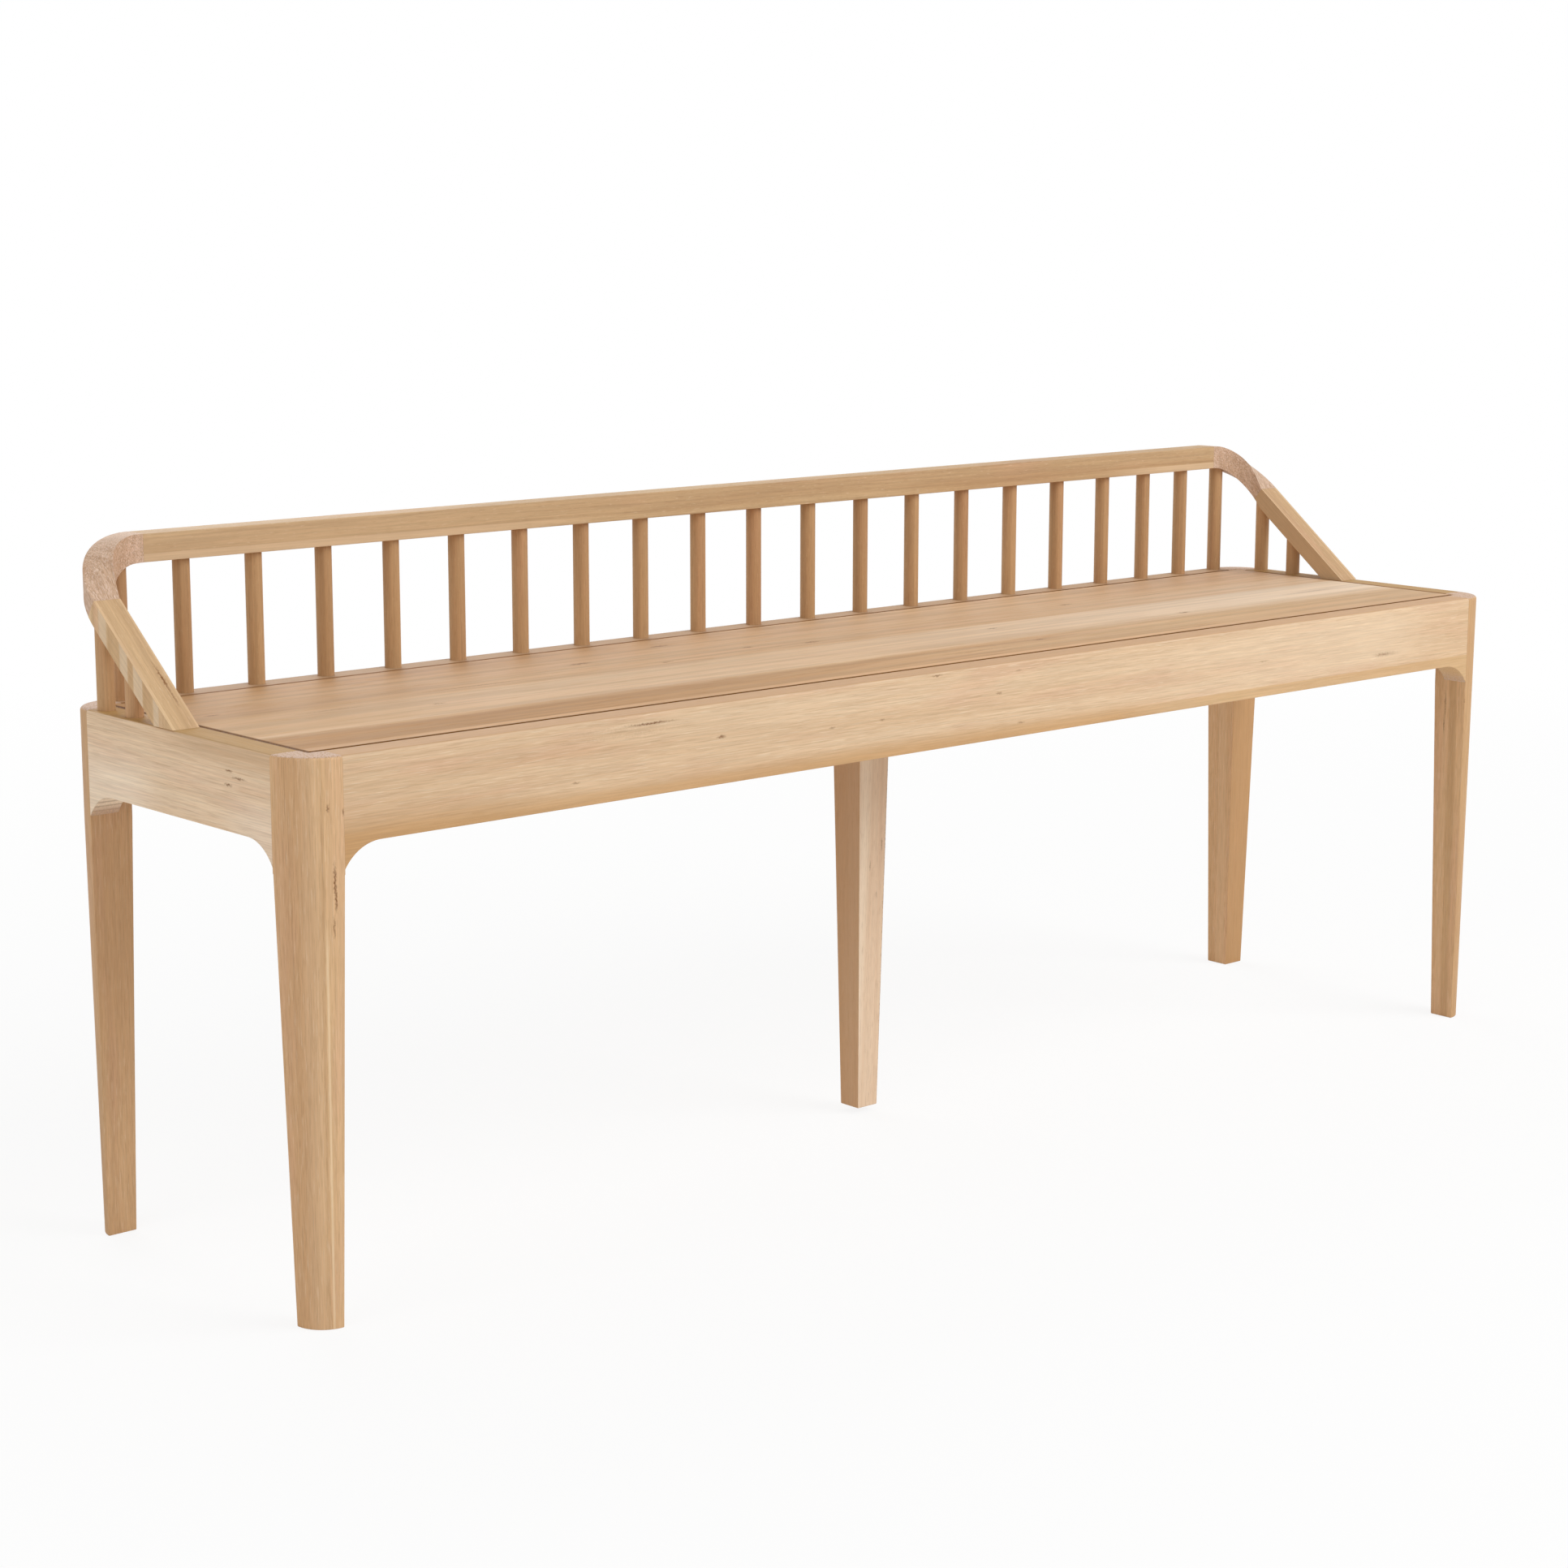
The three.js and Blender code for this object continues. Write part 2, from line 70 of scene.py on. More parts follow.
# The setting that makes a ramp start and end gently.
SMOOTH = {"interpolation_type": "SMOOTHSTEP"}

# Where the outer faces lie, in millimetres, for marks that are placed on them.
SEAT_LEVEL = 460.0
PANEL_UNDERSIDE = 440.0
APRON_FACE = 179.0
END_FACE = 750.0

# Painted shade for the groove round the panel: a dark brown for the shade down in it, and a
# lighter brown along the wood beside it, which widens the dark line.
GROOVE_SHADE_TONE = "#6b451a"
GROOVE_EDGE_SHADE_TONE = "#865826"

# Where in the log a board may come from: along it, and off its heart both ways, in metres.
LOG_SPANS = ((-9, 9), (0.05, 0.12), (0.06, 0.16))

# How often the grain lines of a board swing out, along it and both ways across it, per metre.
SWINGS = Vector((2.2, 7, 7))

# How far a mark's rim is ragged and how far the mark reaches, in its own widths, and how fine the
# ragging is, in waves to the metre.
MARK_RAGGING = 1.6
MARK_REACH = 0.8
MARK_WAVES = 420.0

# The share of a normal along an axis at which a face or an end begins to show, and shows fully.
FACE_BEGINS = 0.6
END_BEGINS = 0.62
SHOWS_FULLY = 0.9


class Run(Enum):
    """The ways that a straight piece's grain runs."""

    ALONG = (1, 0, 0)
    DEEP = (0, 1, 0)
    UPRIGHT = (0, 0, 1)

    @property
    def axis(self) -> Vector:
        """The direction as a vector."""
        return Vector(self.value)


ALONG, DEEP, UPRIGHT = Run


def linear(hex_colour: str) -> tuple[float, float, float, float]:
    """Turns an sRGB hex colour into the linear colour that the shaders take.

    Args:
        hex_colour: six hex digits, with or without a leading '#'.

    Returns:
        Red, green, blue and an alpha of one.
    """
    digits = hex_colour.lstrip("#")
    shares = [int(digits[i:i + 2], 16) / 255 for i in (0, 2, 4)]
    curved = [c / 12.92 if c <= 0.04045 else ((c + 0.055) / 1.055) ** 2.4 for c in shares]
    return (*curved, 1.0)


def add_node(tree: NodeTree, kind: str, inputs: dict | None = None, **settings: object) -> Node:
    """Adds a shader node, sets its properties and fills or links its inputs.

    Args:
        tree: the node tree to add to.
        kind: the node's type name, without the ShaderNode that it starts with.
        inputs: values, outputs, or nodes for their first open output, by input name or index.
        settings: the node's own properties.

    Returns:
        The new node.
    """
    node = tree.nodes.new(f"ShaderNode{kind}")
    for name, value in settings.items():
        setattr(node, name, value)
    named = {socket.name: socket for socket in node.inputs if socket.enabled}
    for name, value in (inputs or {}).items():
        target = named[name] if isinstance(name, str) else node.inputs[name]
        if isinstance(value, Node):
            value = next(output for output in value.outputs if output.enabled)
        if isinstance(value, NodeSocket):
            tree.links.new(value, target)
        else:
            target.default_value = value
    return node


def blank_tree(owner: Material | World) -> NodeTree:
    """Gives a material or a world an empty node tree.

    Args:
        owner: the material or the world.

    Returns:
        The tree.
    """
    owner.use_nodes = True
    owner.node_tree.nodes.clear()
    return owner.node_tree


@dataclass(frozen=True)
class Mark:
    """A small dark check or pin knot in the wood, longest along the grain.

    Args:
        place: its middle in the bench's frame, in millimetres.
        length: its length along the grain in millimetres.
        width: its width across the grain in millimetres.
        depth: how dark it is, from 0 to 1.
    """

    place: tuple[float, float, float]
    length: float
    width: float
    depth: float = 0.7


@dataclass(frozen=True)
class Edge:
    """Where a band of another tone comes in, measured along one axis of the bench.

    Args:
        run: the axis.
        bare: where the band doesn't show yet, in millimetres.
        full: where it shows fully, in millimetres, on either side of the bare place.
    """

    run: Run
    bare: float
    full: float


@dataclass(frozen=True)
class Band:
    """A strip of sapwood or heartwood, or one stave of a glued board, in its own tone.

    Args:
        tone: the strip's colour as sRGB hex.
        strength: how far the board's colour goes over to that tone, from 0 to 1.
        edges: what bounds it; a strip shows where all its edges have come in.
    """

    tone: str
    strength: float
    edges: tuple[Edge, ...]


@dataclass(frozen=True)
class Board:
    """How one piece was sawn from the log.

    Args:
        seed: a word that picks where in the log the piece comes from.
        grain: the direction of the grain.
        face: the direction across the flat-sawn face.
        bands: strips of another tone.
        marks: small dark checks and knots.
        wander: how far the grain lines stray sideways, in millimetres.
        shade: how light the piece is beside others of its wood.
        flat_sawn: how much deeper the flat-sawn faces are than the quarter-sawn ones, from 0 to 1.
        face_grain: the direction of the figure on the flat-sawn faces, or None for the grain's.
        face_bands: strips of another tone on those faces only, where their figure is turned.
    """

    seed: str
    grain: Vector
    face: Vector
    bands: tuple[Band, ...] = ()
    marks: tuple[Mark, ...] = ()
    wander: float = 9.0
    shade: float = 1.0
    flat_sawn: float = 0.0
    face_grain: Vector | None = None
    face_bands: tuple[Band, ...] = ()


@dataclass(frozen=True)
class Streaks:
    """Streaks along the grain: a noise stretched over real lengths, and cut at two levels.

    Args:
        length: how long a streak is, in millimetres.
        width: how wide it is, in millimetres.
        low: the noise level where a streak begins to show.
        high: the level where it shows fully.
        detail: how many finer layers the noise has.
        grit: how strong each finer layer is beside the last.
    """

    length: float
    width: float
    low: float
    high: float
    detail: float = 2.0
    grit: float = 0.55

    def lay(self, tree: NodeTree, place: Source, strength: float = 1.0) -> Node:
        """Lays the streaks over a board.

        Args:
            tree: the material's nodes.
            place: the place in the board, its X along the grain.
            strength: what a full streak gives.

        Returns:
            The streaks, from 0 to the strength.
        """
        scale = Vector((1 / (self.length * MM), 1 / (self.width * MM), 1 / (self.width * MM)))
        noise = add_node(tree, "TexNoise", {
            "Vector": add_node(tree, "VectorMath", {0: place, 1: scale}, operation="MULTIPLY"),
            "Scale": 1.0,
            "Detail": self.detail, "Roughness": self.grit,
        })
        return add_node(tree, "MapRange", {
            "Value": noise,
            "From Min": self.low, "From Max": self.high,
            "To Max": strength,
        }, **SMOOTH)


@dataclass(frozen=True)
class PlanedOak:
    """Oak, planed, sanded and matt oiled: a soft sheen, fine dashes of open pores along the
    grain, paler ray flecks, faint growth rings and slow drifts from honey to a pinkish straw.

    The pores of real oak are about 0.3 mm wide. That is finer than the render shows, so they
    are drawn about 1 mm wide. Checks, which hold no oil, and the painted shade in the groove are
    dark and have no sheen: it starts where the colour is as light as dry_or_shaded, and is full
    where it is as light as oiled.
    """

    name: str
    pale: str
    warm: str
    deep: str
    pore: str = "#8f6338"
    blush: str = "#d3a184"
    fleck: str = "#f0dcc0"
    end_grain: str = "#cdb09a"
    check: str = "#70400f"
    roughness: float = 0.56
    pore_roughness: float = 0.14
    pore_relief: float = 0.22
    pore_dip: float = 0.8 * MM
    ior: float = 1.5
    sheen: float = 0.38
    dry_or_shaded: float = 0.06
    oiled: float = 0.18
    rings: Streaks = Streaks(210, 4.2, 0.4, 0.68, 3)
    ring_spacing: float = 4.5
    ring_detail: float = 3.0
    ring_grit: float = 0.6
    ring_strength: float = 0.3
    pores: Streaks = Streaks(13, 0.9, 0.52, 0.68)
    pore_strength: float = 0.17
    rays: Streaks = Streaks(8, 1.3, 0.6, 0.74)
    ray_strength: float = 0.22
    threads: Streaks = Streaks(70, 1.5, 0.28, 0.72)
    thread_depth: float = 0.06
    drift: Streaks = Streaks(1100, 45, 0.34, 0.66)
    flush: Streaks = Streaks(170, 24, 0.46, 0.72)
    flush_strength: float = 0.3
    tips: Streaks = Streaks(3, 1.3, 0.42, 0.66, 3)

    def material(self, board: Board) -> Material:
        """Makes this oak as it shows on one board.

        Args:
            board: how the piece was sawn.

        Returns:
            The material, with its grain fixed in the bench's frame.
        """
        material = bpy.data.materials.new(f"{self.name}_{board.seed}")
        SawnOak(self, board, blank_tree(material)).finish()
        return material


@dataclass
class SawnOak:
    """One board's oak in the making: layers of tone in a material's nodes, each over the last."""

    oak: PlanedOak
    board: Board
    tree: NodeTree

    def finish(self) -> None:
        """Lays every layer and joins the wood to the material's output."""
        oak, tree = self.oak, self.tree
        place = self._board_space()
        pores = oak.pores.lay(tree, place, oak.pore_strength)
        colour = self._stack(linear(oak.pale), [
            *self._long_grain(place, pores),
            *self._turned_figure(pores),
            *self._flat_sawn(),
            *self._bands(),
            *self._end_grain(place),
            *self._marks(),
        ])
        level = add_node(tree, "MapRange", {
            "Value": oak.threads.lay(tree, place),
            "To Min": self.board.shade * (1 - oak.thread_depth),
            "To Max": self.board.shade * (1 + oak.thread_depth),
        })
        threaded = add_node(tree, "VectorMath", {0: colour, "Scale": level}, operation="SCALE")
        rough = add_node(tree, "MapRange", {
            "Value": pores,
            "From Max": oak.pore_strength,
            "To Min": oak.roughness, "To Max": oak.roughness + oak.pore_roughness,
        })
        dips = {"Strength": oak.pore_relief, "Distance": oak.pore_dip, "Height": pores}
        bump = add_node(tree, "Bump", dips, invert=True)
        sheen = add_node(tree, "MapRange", {
            "Value": add_node(tree, "RGBToBW", {"Color": colour}),
            "From Min": oak.dry_or_shaded, "From Max": oak.oiled,
            "To Max": oak.sheen,
        })
        shader = add_node(tree, "BsdfPrincipled", {
            "Base Color": threaded, "Roughness": rough, "Normal": bump,
            "IOR": oak.ior, "Specular IOR Level": sheen,
        })
        add_node(tree, "OutputMaterial", {"Surface": shader})

    def _stack(self, colour: Tone, layers: list[Layer]) -> Tone:
        """Lays layers over a colour.

        Args:
            colour: the ground colour.
            layers: how far each layer covers what is under it, and its own colour.

        Returns:
            The colour on top.
        """
        for share, tone in layers:
            mix = {"Factor": share, "A": colour, "B": tone}
            colour = add_node(self.tree, "Mix", mix, data_type="RGBA")
        return colour

    def _board_space(self) -> Node:
        """Turns the bench's frame into the board's: X along the grain, Y across its face.

        Returns:
            The place in the board, shifted to the board's own part of the log.
        """
        grain = self.board.grain.normalized()
        across = (self.board.face - grain * self.board.face.dot(grain)).normalized()
        place = add_node(self.tree, "TexCoord").outputs["Object"]
        shares = [
            add_node(self.tree, "VectorMath", {0: place, 1: axis}, operation="DOT_PRODUCT")
            for axis in (grain, across, grain.cross(across))
        ]
        combined = add_node(self.tree, "CombineXYZ", dict(enumerate(shares)))
        draw = random.Random(self.board.seed)
        shift = Vector([draw.uniform(low, high) for low, high in LOG_SPANS])
        return add_node(self.tree, "VectorMath", {0: combined, 1: shift})

    def _stray(self, place: Source) -> Node:
        """Lets the grain lines stray sideways by the board's wander.

        Args:
            place: the place in the board.

        Returns:
            The place among the straying lines.
        """
        tree = self.tree
        slow = add_node(tree, "VectorMath", {0: place, 1: SWINGS}, operation="MULTIPLY")
        noise = add_node(tree, "TexNoise", {"Vector": slow, "Scale": 1.0, "Detail": 1.0}).outputs["Color"]
        centred = add_node(tree, "VectorMath", {0: noise, 1: HALF}, operation="SUBTRACT")
        reach = 2 * self.board.wander * MM
        swung = {0: centred, 1: Vector((0, reach, reach)), 2: place}
        return add_node(tree, "VectorMath", swung, operation="MULTIPLY_ADD")

    def _late_wood(self, place: Source) -> Node:
        """The dark part of each growth ring, the rings lying round the log's heart.

        Args:
            place: the place among the straying grain lines.

        Returns:
            The share of late wood, from 0 to the oak's ring strength.
        """
        tree = self.tree
        radial = add_node(tree, "VectorMath", {0: place, 1: Vector((0, 1, 1))}, operation="MULTIPLY")
        radius = add_node(tree, "VectorMath", {0: radial}, operation="LENGTH")
        rings = add_node(tree, "Math", {0: radius, 1: self.oak.ring_spacing * MM}, operation="DIVIDE")
        noise = add_node(tree, "TexNoise", {
            "W": rings,
            "Scale": 1.0,
            "Detail": self.oak.ring_detail, "Roughness": self.oak.ring_grit,
        }, noise_dimensions="1D")
        return add_node(tree, "MapRange", {
            "Value": noise,
            "From Min": self.oak.rings.low, "From Max": self.oak.rings.high,
            "To Max": self.oak.ring_strength,
        }, **SMOOTH)

    def _long_grain(self, place: Source, pores: Source) -> list[Layer]:
        """The wood along the grain: drifts of tone, rings, ray flecks and pores.

        Args:
            place: the place in the board.
            pores: the open pores.

        Returns:
            The layers.
        """
        oak, tree = self.oak, self.tree
        strayed = self._stray(place)
        return [
            (oak.drift.lay(tree, strayed), linear(oak.warm)),
            (oak.flush.lay(tree, strayed, oak.flush_strength), linear(oak.blush)),
            (self._late_wood(strayed), linear(oak.deep)),
            (oak.rings.lay(tree, strayed, oak.ring_strength), linear(oak.deep)),
            (oak.rays.lay(tree, place, oak.ray_strength), linear(oak.fleck)),
            (pores, linear(oak.pore)),
        ]

    def _facing(self, axis: Vector, begins: float, strength: float = 1.0) -> Node:
        """How far a surface faces along an axis, either way.

        Args:
            axis: the axis.
            begins: the normal's share of the axis that still gives nothing.
            strength: what a surface that faces it gives.

        Returns:
            The share, from 0 to the strength.
        """
        tree = self.tree
        normal = add_node(tree, "NewGeometry").outputs["Normal"]
        facing = add_node(tree, "VectorMath", {0: normal, 1: axis.normalized()}, operation="DOT_PRODUCT")
        return add_node(tree, "MapRange", {
            "Value": add_node(tree, "Math", {0: facing}, operation="ABSOLUTE"),
            "From Min": begins, "From Max": SHOWS_FULLY,
            "To Max": strength,
        }, **SMOOTH)

    def _turned_figure(self, pores: Source) -> list[Layer]:
        """Lets the figure run another way on the flat-sawn faces.

        Args:
            pores: the open pores.

        Returns:
            One layer, or none where the figure runs the grain's way all round.
        """
        board = self.board
        if board.face_grain is None:
            return []
        turned = replace(board, seed=f"{board.seed}_face", grain=board.face_grain, bands=board.face_bands)
        face = SawnOak(self.oak, turned, self.tree)
        layers = [*face._long_grain(face._board_space(), pores), *face._bands()]
        return [(self._facing(board.face, FACE_BEGINS), face._stack(linear(self.oak.pale), layers))]

    def _flat_sawn(self) -> list[Layer]:
        """Deepens the flat-sawn faces, where the late wood lies open.

        Returns:
            One layer, or none where those faces are no deeper.
        """
        if not self.board.flat_sawn:
            return []
        return [(self._facing(self.board.face, FACE_BEGINS, self.board.flat_sawn), linear(self.oak.deep))]

    def _end_grain(self, place: Source) -> list[Layer]:
        """Lays sawn end grain, paler and pinker, wherever a surface is cut across the grain.

        Args:
            place: the place in the board.

        Returns:
            One layer.
        """
        tips = (self.oak.tips.lay(self.tree, place), linear(self.oak.deep))
        ends = self._stack(linear(self.oak.end_grain), [tips])
        return [(self._facing(self.board.grain, END_BEGINS), ends)]

    def _bands(self) -> list[Layer]:
        """Lays the board's strips of another tone.

        Returns:
            A layer for each strip.
        """
        tree = self.tree
        place = add_node(tree, "TexCoord").outputs["Object"]
        layers = []
        for band in self.board.bands:
            share = band.strength
            for edge in band.edges:
                along = add_node(tree, "VectorMath", {0: place, 1: edge.run.axis}, operation="DOT_PRODUCT")
                share = add_node(tree, "MapRange", {
                    "Value": along,
                    "From Min": edge.bare * MM, "From Max": edge.full * MM,
                    "To Max": share,
                }, **SMOOTH)
            layers.append((share, linear(band.tone)))
        return layers

    def _marks(self) -> list[Layer]:
        """Draws the board's dark checks and knots, each a ragged lens along the grain.

        Returns:
            A layer for each mark.
        """
        if not self.board.marks:
            return []
        tree = self.tree
        grain = self.board.grain.normalized()
        place = add_node(tree, "TexCoord").outputs["Object"]
        ragged = add_node(tree, "TexNoise", {"Vector": place, "Scale": MARK_WAVES, "Detail": 2.0})
        off = add_node(tree, "VectorMath", {0: ragged.outputs["Color"], 1: HALF}, operation="SUBTRACT")
        layers = []
        for mark in self.board.marks:
            width = mark.width * MM
            slimness = mark.width / mark.length - 1
            middle = Vector(mark.place) * MM
            clean = add_node(tree, "VectorMath", {0: place, 1: middle}, operation="SUBTRACT")
            ragging = {0: off, 1: Vector.Fill(3, width * MARK_RAGGING), 2: clean}
            away = add_node(tree, "VectorMath", ragging, operation="MULTIPLY_ADD")
            along = add_node(tree, "VectorMath", {0: away, 1: grain}, operation="DOT_PRODUCT")
            squeeze = add_node(tree, "Math", {0: along, 1: slimness}, operation="MULTIPLY")
            shift = add_node(tree, "VectorMath", {0: grain, "Scale": squeeze}, operation="SCALE")
            rounded = add_node(tree, "VectorMath", {0: away, 1: shift}, operation="ADD")
            share = add_node(tree, "MapRange", {
                "Value": add_node(tree, "VectorMath", {0: rounded}, operation="LENGTH"),
                "From Max": width * MARK_REACH,
                "To Min": mark.depth, "To Max": 0.0,
            }, **SMOOTH)
            layers.append((share, linear(self.oak.check)))
        return layers


@dataclass(frozen=True)
class PlatedSteel:
    """Zinc plated steel, tumbled: a soft grey metal gleam with faint cloudy patches."""

    name: str = "zinc_plated_steel"
    metal: str = "#b9b7b0"
    roughness: float = 0.36
    brighter: float = 0.08
    duller: float = 0.12
    clouds: float = 900.0

    def material(self) -> Material:
        """Makes the plated steel.

        Returns:
            The material.
        """
        material = bpy.data.materials.new(self.name)
        tree = blank_tree(material)
        place = add_node(tree, "TexCoord").outputs["Object"]
        clouds = add_node(tree, "TexNoise", {"Vector": place, "Scale": self.clouds, "Detail": 3.0})
        rough = add_node(tree, "MapRange", {
            "Value": clouds,
            "To Min": self.roughness - self.brighter, "To Max": self.roughness + self.duller,
        })
        plating = {"Base Color": linear(self.metal), "Metallic": 1.0, "Roughness": rough}
        add_node(tree, "OutputMaterial", {"Surface": add_node(tree, "BsdfPrincipled", plating)})
        return material


# Tan and straw staves with long smooth streaks.
SEAT_OAK = PlanedOak(
    "planed_oiled_oak_seat", "#d8b58c", "#cca67b", "#b58a5c", rings=Streaks(420, 12, 0.47, 0.63, 4),
    ring_strength=0.38, pores=Streaks(34, 2.2, 0.54, 0.68), threads=Streaks(300, 10, 0.38, 0.62, 3),
    thread_depth=0.08,
)

# Pale straw, with fine dashes and plenty of ray flecks.
FRAME_OAK = PlanedOak(
    "planed_oiled_oak_frame", "#e6c9a6", "#dab994", "#c49d73", ring_strength=0.17,
    pores=Streaks(26, 0.9, 0.5, 0.66), rays=Streaks(22, 1.0, 0.54, 0.7), ray_strength=0.34,
)

# The frame's oak, paler, its rings plainer to see.
PALE_OAK = replace(
    FRAME_OAK, name="planed_oiled_oak_end", pale="#f0d5b4", warm="#e4c6a4", deep="#c8a27c",
    end_grain="#b9957c", ring_strength=0.26, ray_strength=0.3, thread_depth=0.08,
)

# Honey, with a fine even grain and a pinkish end grain.
LEG_OAK = PlanedOak(
    "planed_oiled_oak_leg", "#ddb486", "#cfa478", "#b58b5d", ring_strength=0.16, thread_depth=0.05,
    pores=Streaks(20, 0.9, 0.5, 0.64), pore_strength=0.2, rays=Streaks(18, 1.0, 0.55, 0.7),
    end_grain="#d1b5a3",
)

# Cream, almost plain.
CENTRE_OAK = PlanedOak(
    "planed_oiled_oak_centre", "#f4dcc0", "#e9caab", "#c49463", ring_strength=0.1, thread_depth=0.03,
    flush_strength=0.15,
)

# Tan, a little greyer than the frame.
RAIL_OAK = PlanedOak("planed_oiled_oak_rail", "#ceae84", "#c09d75", "#a7835c", thread_depth=0.06)

# Warm tan, the darkest of all, smooth from the lathe.
SPINDLE_OAK = PlanedOak(
    "turned_oiled_oak", "#c9a073", "#bb9267", "#9b7650", blush="#c08863", fleck="#d9b98f", ring_strength=0.2,
)

# Pinkish and speckled, because the bend is cut across the grain.
CORNER_OAK = PlanedOak(
    "sanded_oak_bend", "#e2c3aa", "#d2af92", "#ae8868", end_grain="#e6c9b2", fleck="#efdacb",
    pores=Streaks(7, 0.9, 0.48, 0.62), pore_strength=0.36, rays=Streaks(6, 0.9, 0.52, 0.64),
    ray_strength=0.5, tips=Streaks(6, 0.9, 0.42, 0.64),
)

# Left without oil, so duller than the rest.
INNER_OAK = PlanedOak("planed_oak_inside", "#d8b78f", "#caa77e", "#b18a5f", roughness=0.72)


def circle(sides: int) -> list[tuple[float, float]]:
    """Points at even steps round a circle with a radius of one."""
    turns = [2 * math.pi * i / sides for i in range(sides)]
    return [(math.cos(turn), math.sin(turn)) for turn in turns]


def span_rings(shape: bmesh.types.BMesh, rings: list[list[bmesh.types.BMVert]]) -> None:
    """Spans four-sided faces between each ring of corners and the next.

    Args:
        shape: the shape in the making.
        rings: the rings in order, with as many corners each.
    """
    for below, above in zip(rings, rings[1:]):
        for i in range(len(below)):
            j = (i + 1) % len(below)
            shape.faces.new((below[i], below[j], above[j], above[i]))


def finished_mesh(shape: bmesh.types.BMesh, name: str) -> Mesh:
    """Makes a mesh of a shape in the making, and frees the shape.

    Args:
        shape: the shape.
        name: the mesh's name.

    Returns:
        The mesh.
    """
    mesh = bpy.data.meshes.new(name)
    shape.to_mesh(mesh)
    shape.free()
    return mesh


@dataclass
class JoinersBench:
    """Takes pieces from the frame and eases their free arrises.

    An edge is a free arris where it is sharp and no other piece lies against it. Edges at a
    joint, and the rims of the sockets, stay crisp, so the joints show as fine lines.
    """

    arris: float = 0.9 * MM
    arris_steps: int = 2
    sharp: float = math.radians(35)
    joint_reach: float = 0.5 * MM
    flat: float = math.radians(0.6)
    merge: float = 0.002 * MM
    surfaces: dict[str, BVHTree] = field(default_factory=dict)

    def lay_out(self) -> None:
        """Reads every node's surface, so that neighbours can be felt."""
        for name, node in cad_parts.items():
            mesh = node.data
            points = [vertex.co.copy() for vertex in mesh.vertices]
            faces = [tuple(face.vertices) for face in mesh.polygons]
            self.surfaces[name] = BVHTree.FromPolygons(points, faces)

    def ease(self, name: str, arris: float | None = None) -> Object:
        """Makes a piece from a node, with its free arrises rounded over.

        Args:
            name: the node's name.
            arris: the rounding's width, or None for the usual one.

        Returns:
            The new piece, which stands for the node.
        """
        shape = bmesh.new()
        shape.from_mesh(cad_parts[name].data)
        bmesh.ops.remove_doubles(shape, verts=shape.verts, dist=self.merge)
        bmesh.ops.dissolve_limit(
            shape, angle_limit=self.flat, verts=shape.verts, edges=shape.edges, delimit={"NORMAL"},
        )
        free = [edge for edge in shape.edges if self._is_free(name, edge)]
        if free:
            bmesh.ops.bevel(
                shape, geom=free, offset=arris or self.arris, offset_type="OFFSET",
                segments=self.arris_steps, profile=0.5, affect="EDGES", clamp_overlap=True,
            )
        for edge in shape.edges:
            edge.smooth = len(edge.link_faces) == 2 and edge.calc_face_angle() < self.sharp
        for face in shape.faces:
            face.smooth = True
        return self.fit(name, finished_mesh(shape, f"{name}_oak"))

    def _is_free(self, name: str, edge: bmesh.types.BMEdge) -> bool:
        """Whether an edge is a sharp one that no other piece lies against.

        Args:
            name: the node that the edge belongs to.
            edge: the edge.

        Returns:
            True for a free arris.
        """
        if len(edge.link_faces) != 2 or edge.calc_face_angle() < self.sharp:
            return False
        middle = (edge.verts[0].co + edge.verts[1].co) / 2
        return all(
            surface.find_nearest(middle, self.joint_reach)[0] is None
            for other, surface in self.surfaces.items() if other != name
        )

    def fit(self, name: str, mesh: Mesh) -> Object:
        """Puts a mesh in the scene in the place of a node.

        Args:
            name: the node that the piece stands for.
            mesh: the piece's mesh, in the bench's frame.

        Returns:
            The piece, riding on the bench.
        """
        piece = bpy.data.objects.new(f"{name}_oak", mesh)
        bpy.context.scene.collection.objects.link(piece)
        weighted = piece.modifiers.new("even_normals", "WEIGHTED_NORMAL")
        weighted.keep_sharp = True
        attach(piece, ROOT_BODY)
        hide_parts(name)
        return piece


def dress(piece: Object, material: Material) -> None:
    """Gives a piece its material, and reports it.

    Args:
        piece: the piece to dress.
        material: the finish.
    """
    piece.data.materials.clear()
    piece.data.materials.append(material)
    log.info("%s: %s, %d faces", piece.name, material.name, len(piece.data.polygons))


# How deep the painted shade in the groove goes, and the flat top of an apron.
GROOVE_SHADE_DEPTH = (
    Edge(UPRIGHT, SEAT_LEVEL - 0.05, SEAT_LEVEL - 0.15),
    Edge(UPRIGHT, PANEL_UNDERSIDE + 0.5, PANEL_UNDERSIDE + 2.0),
)
RIM = Edge(UPRIGHT, SEAT_LEVEL - 1.0, SEAT_LEVEL - 0.3)


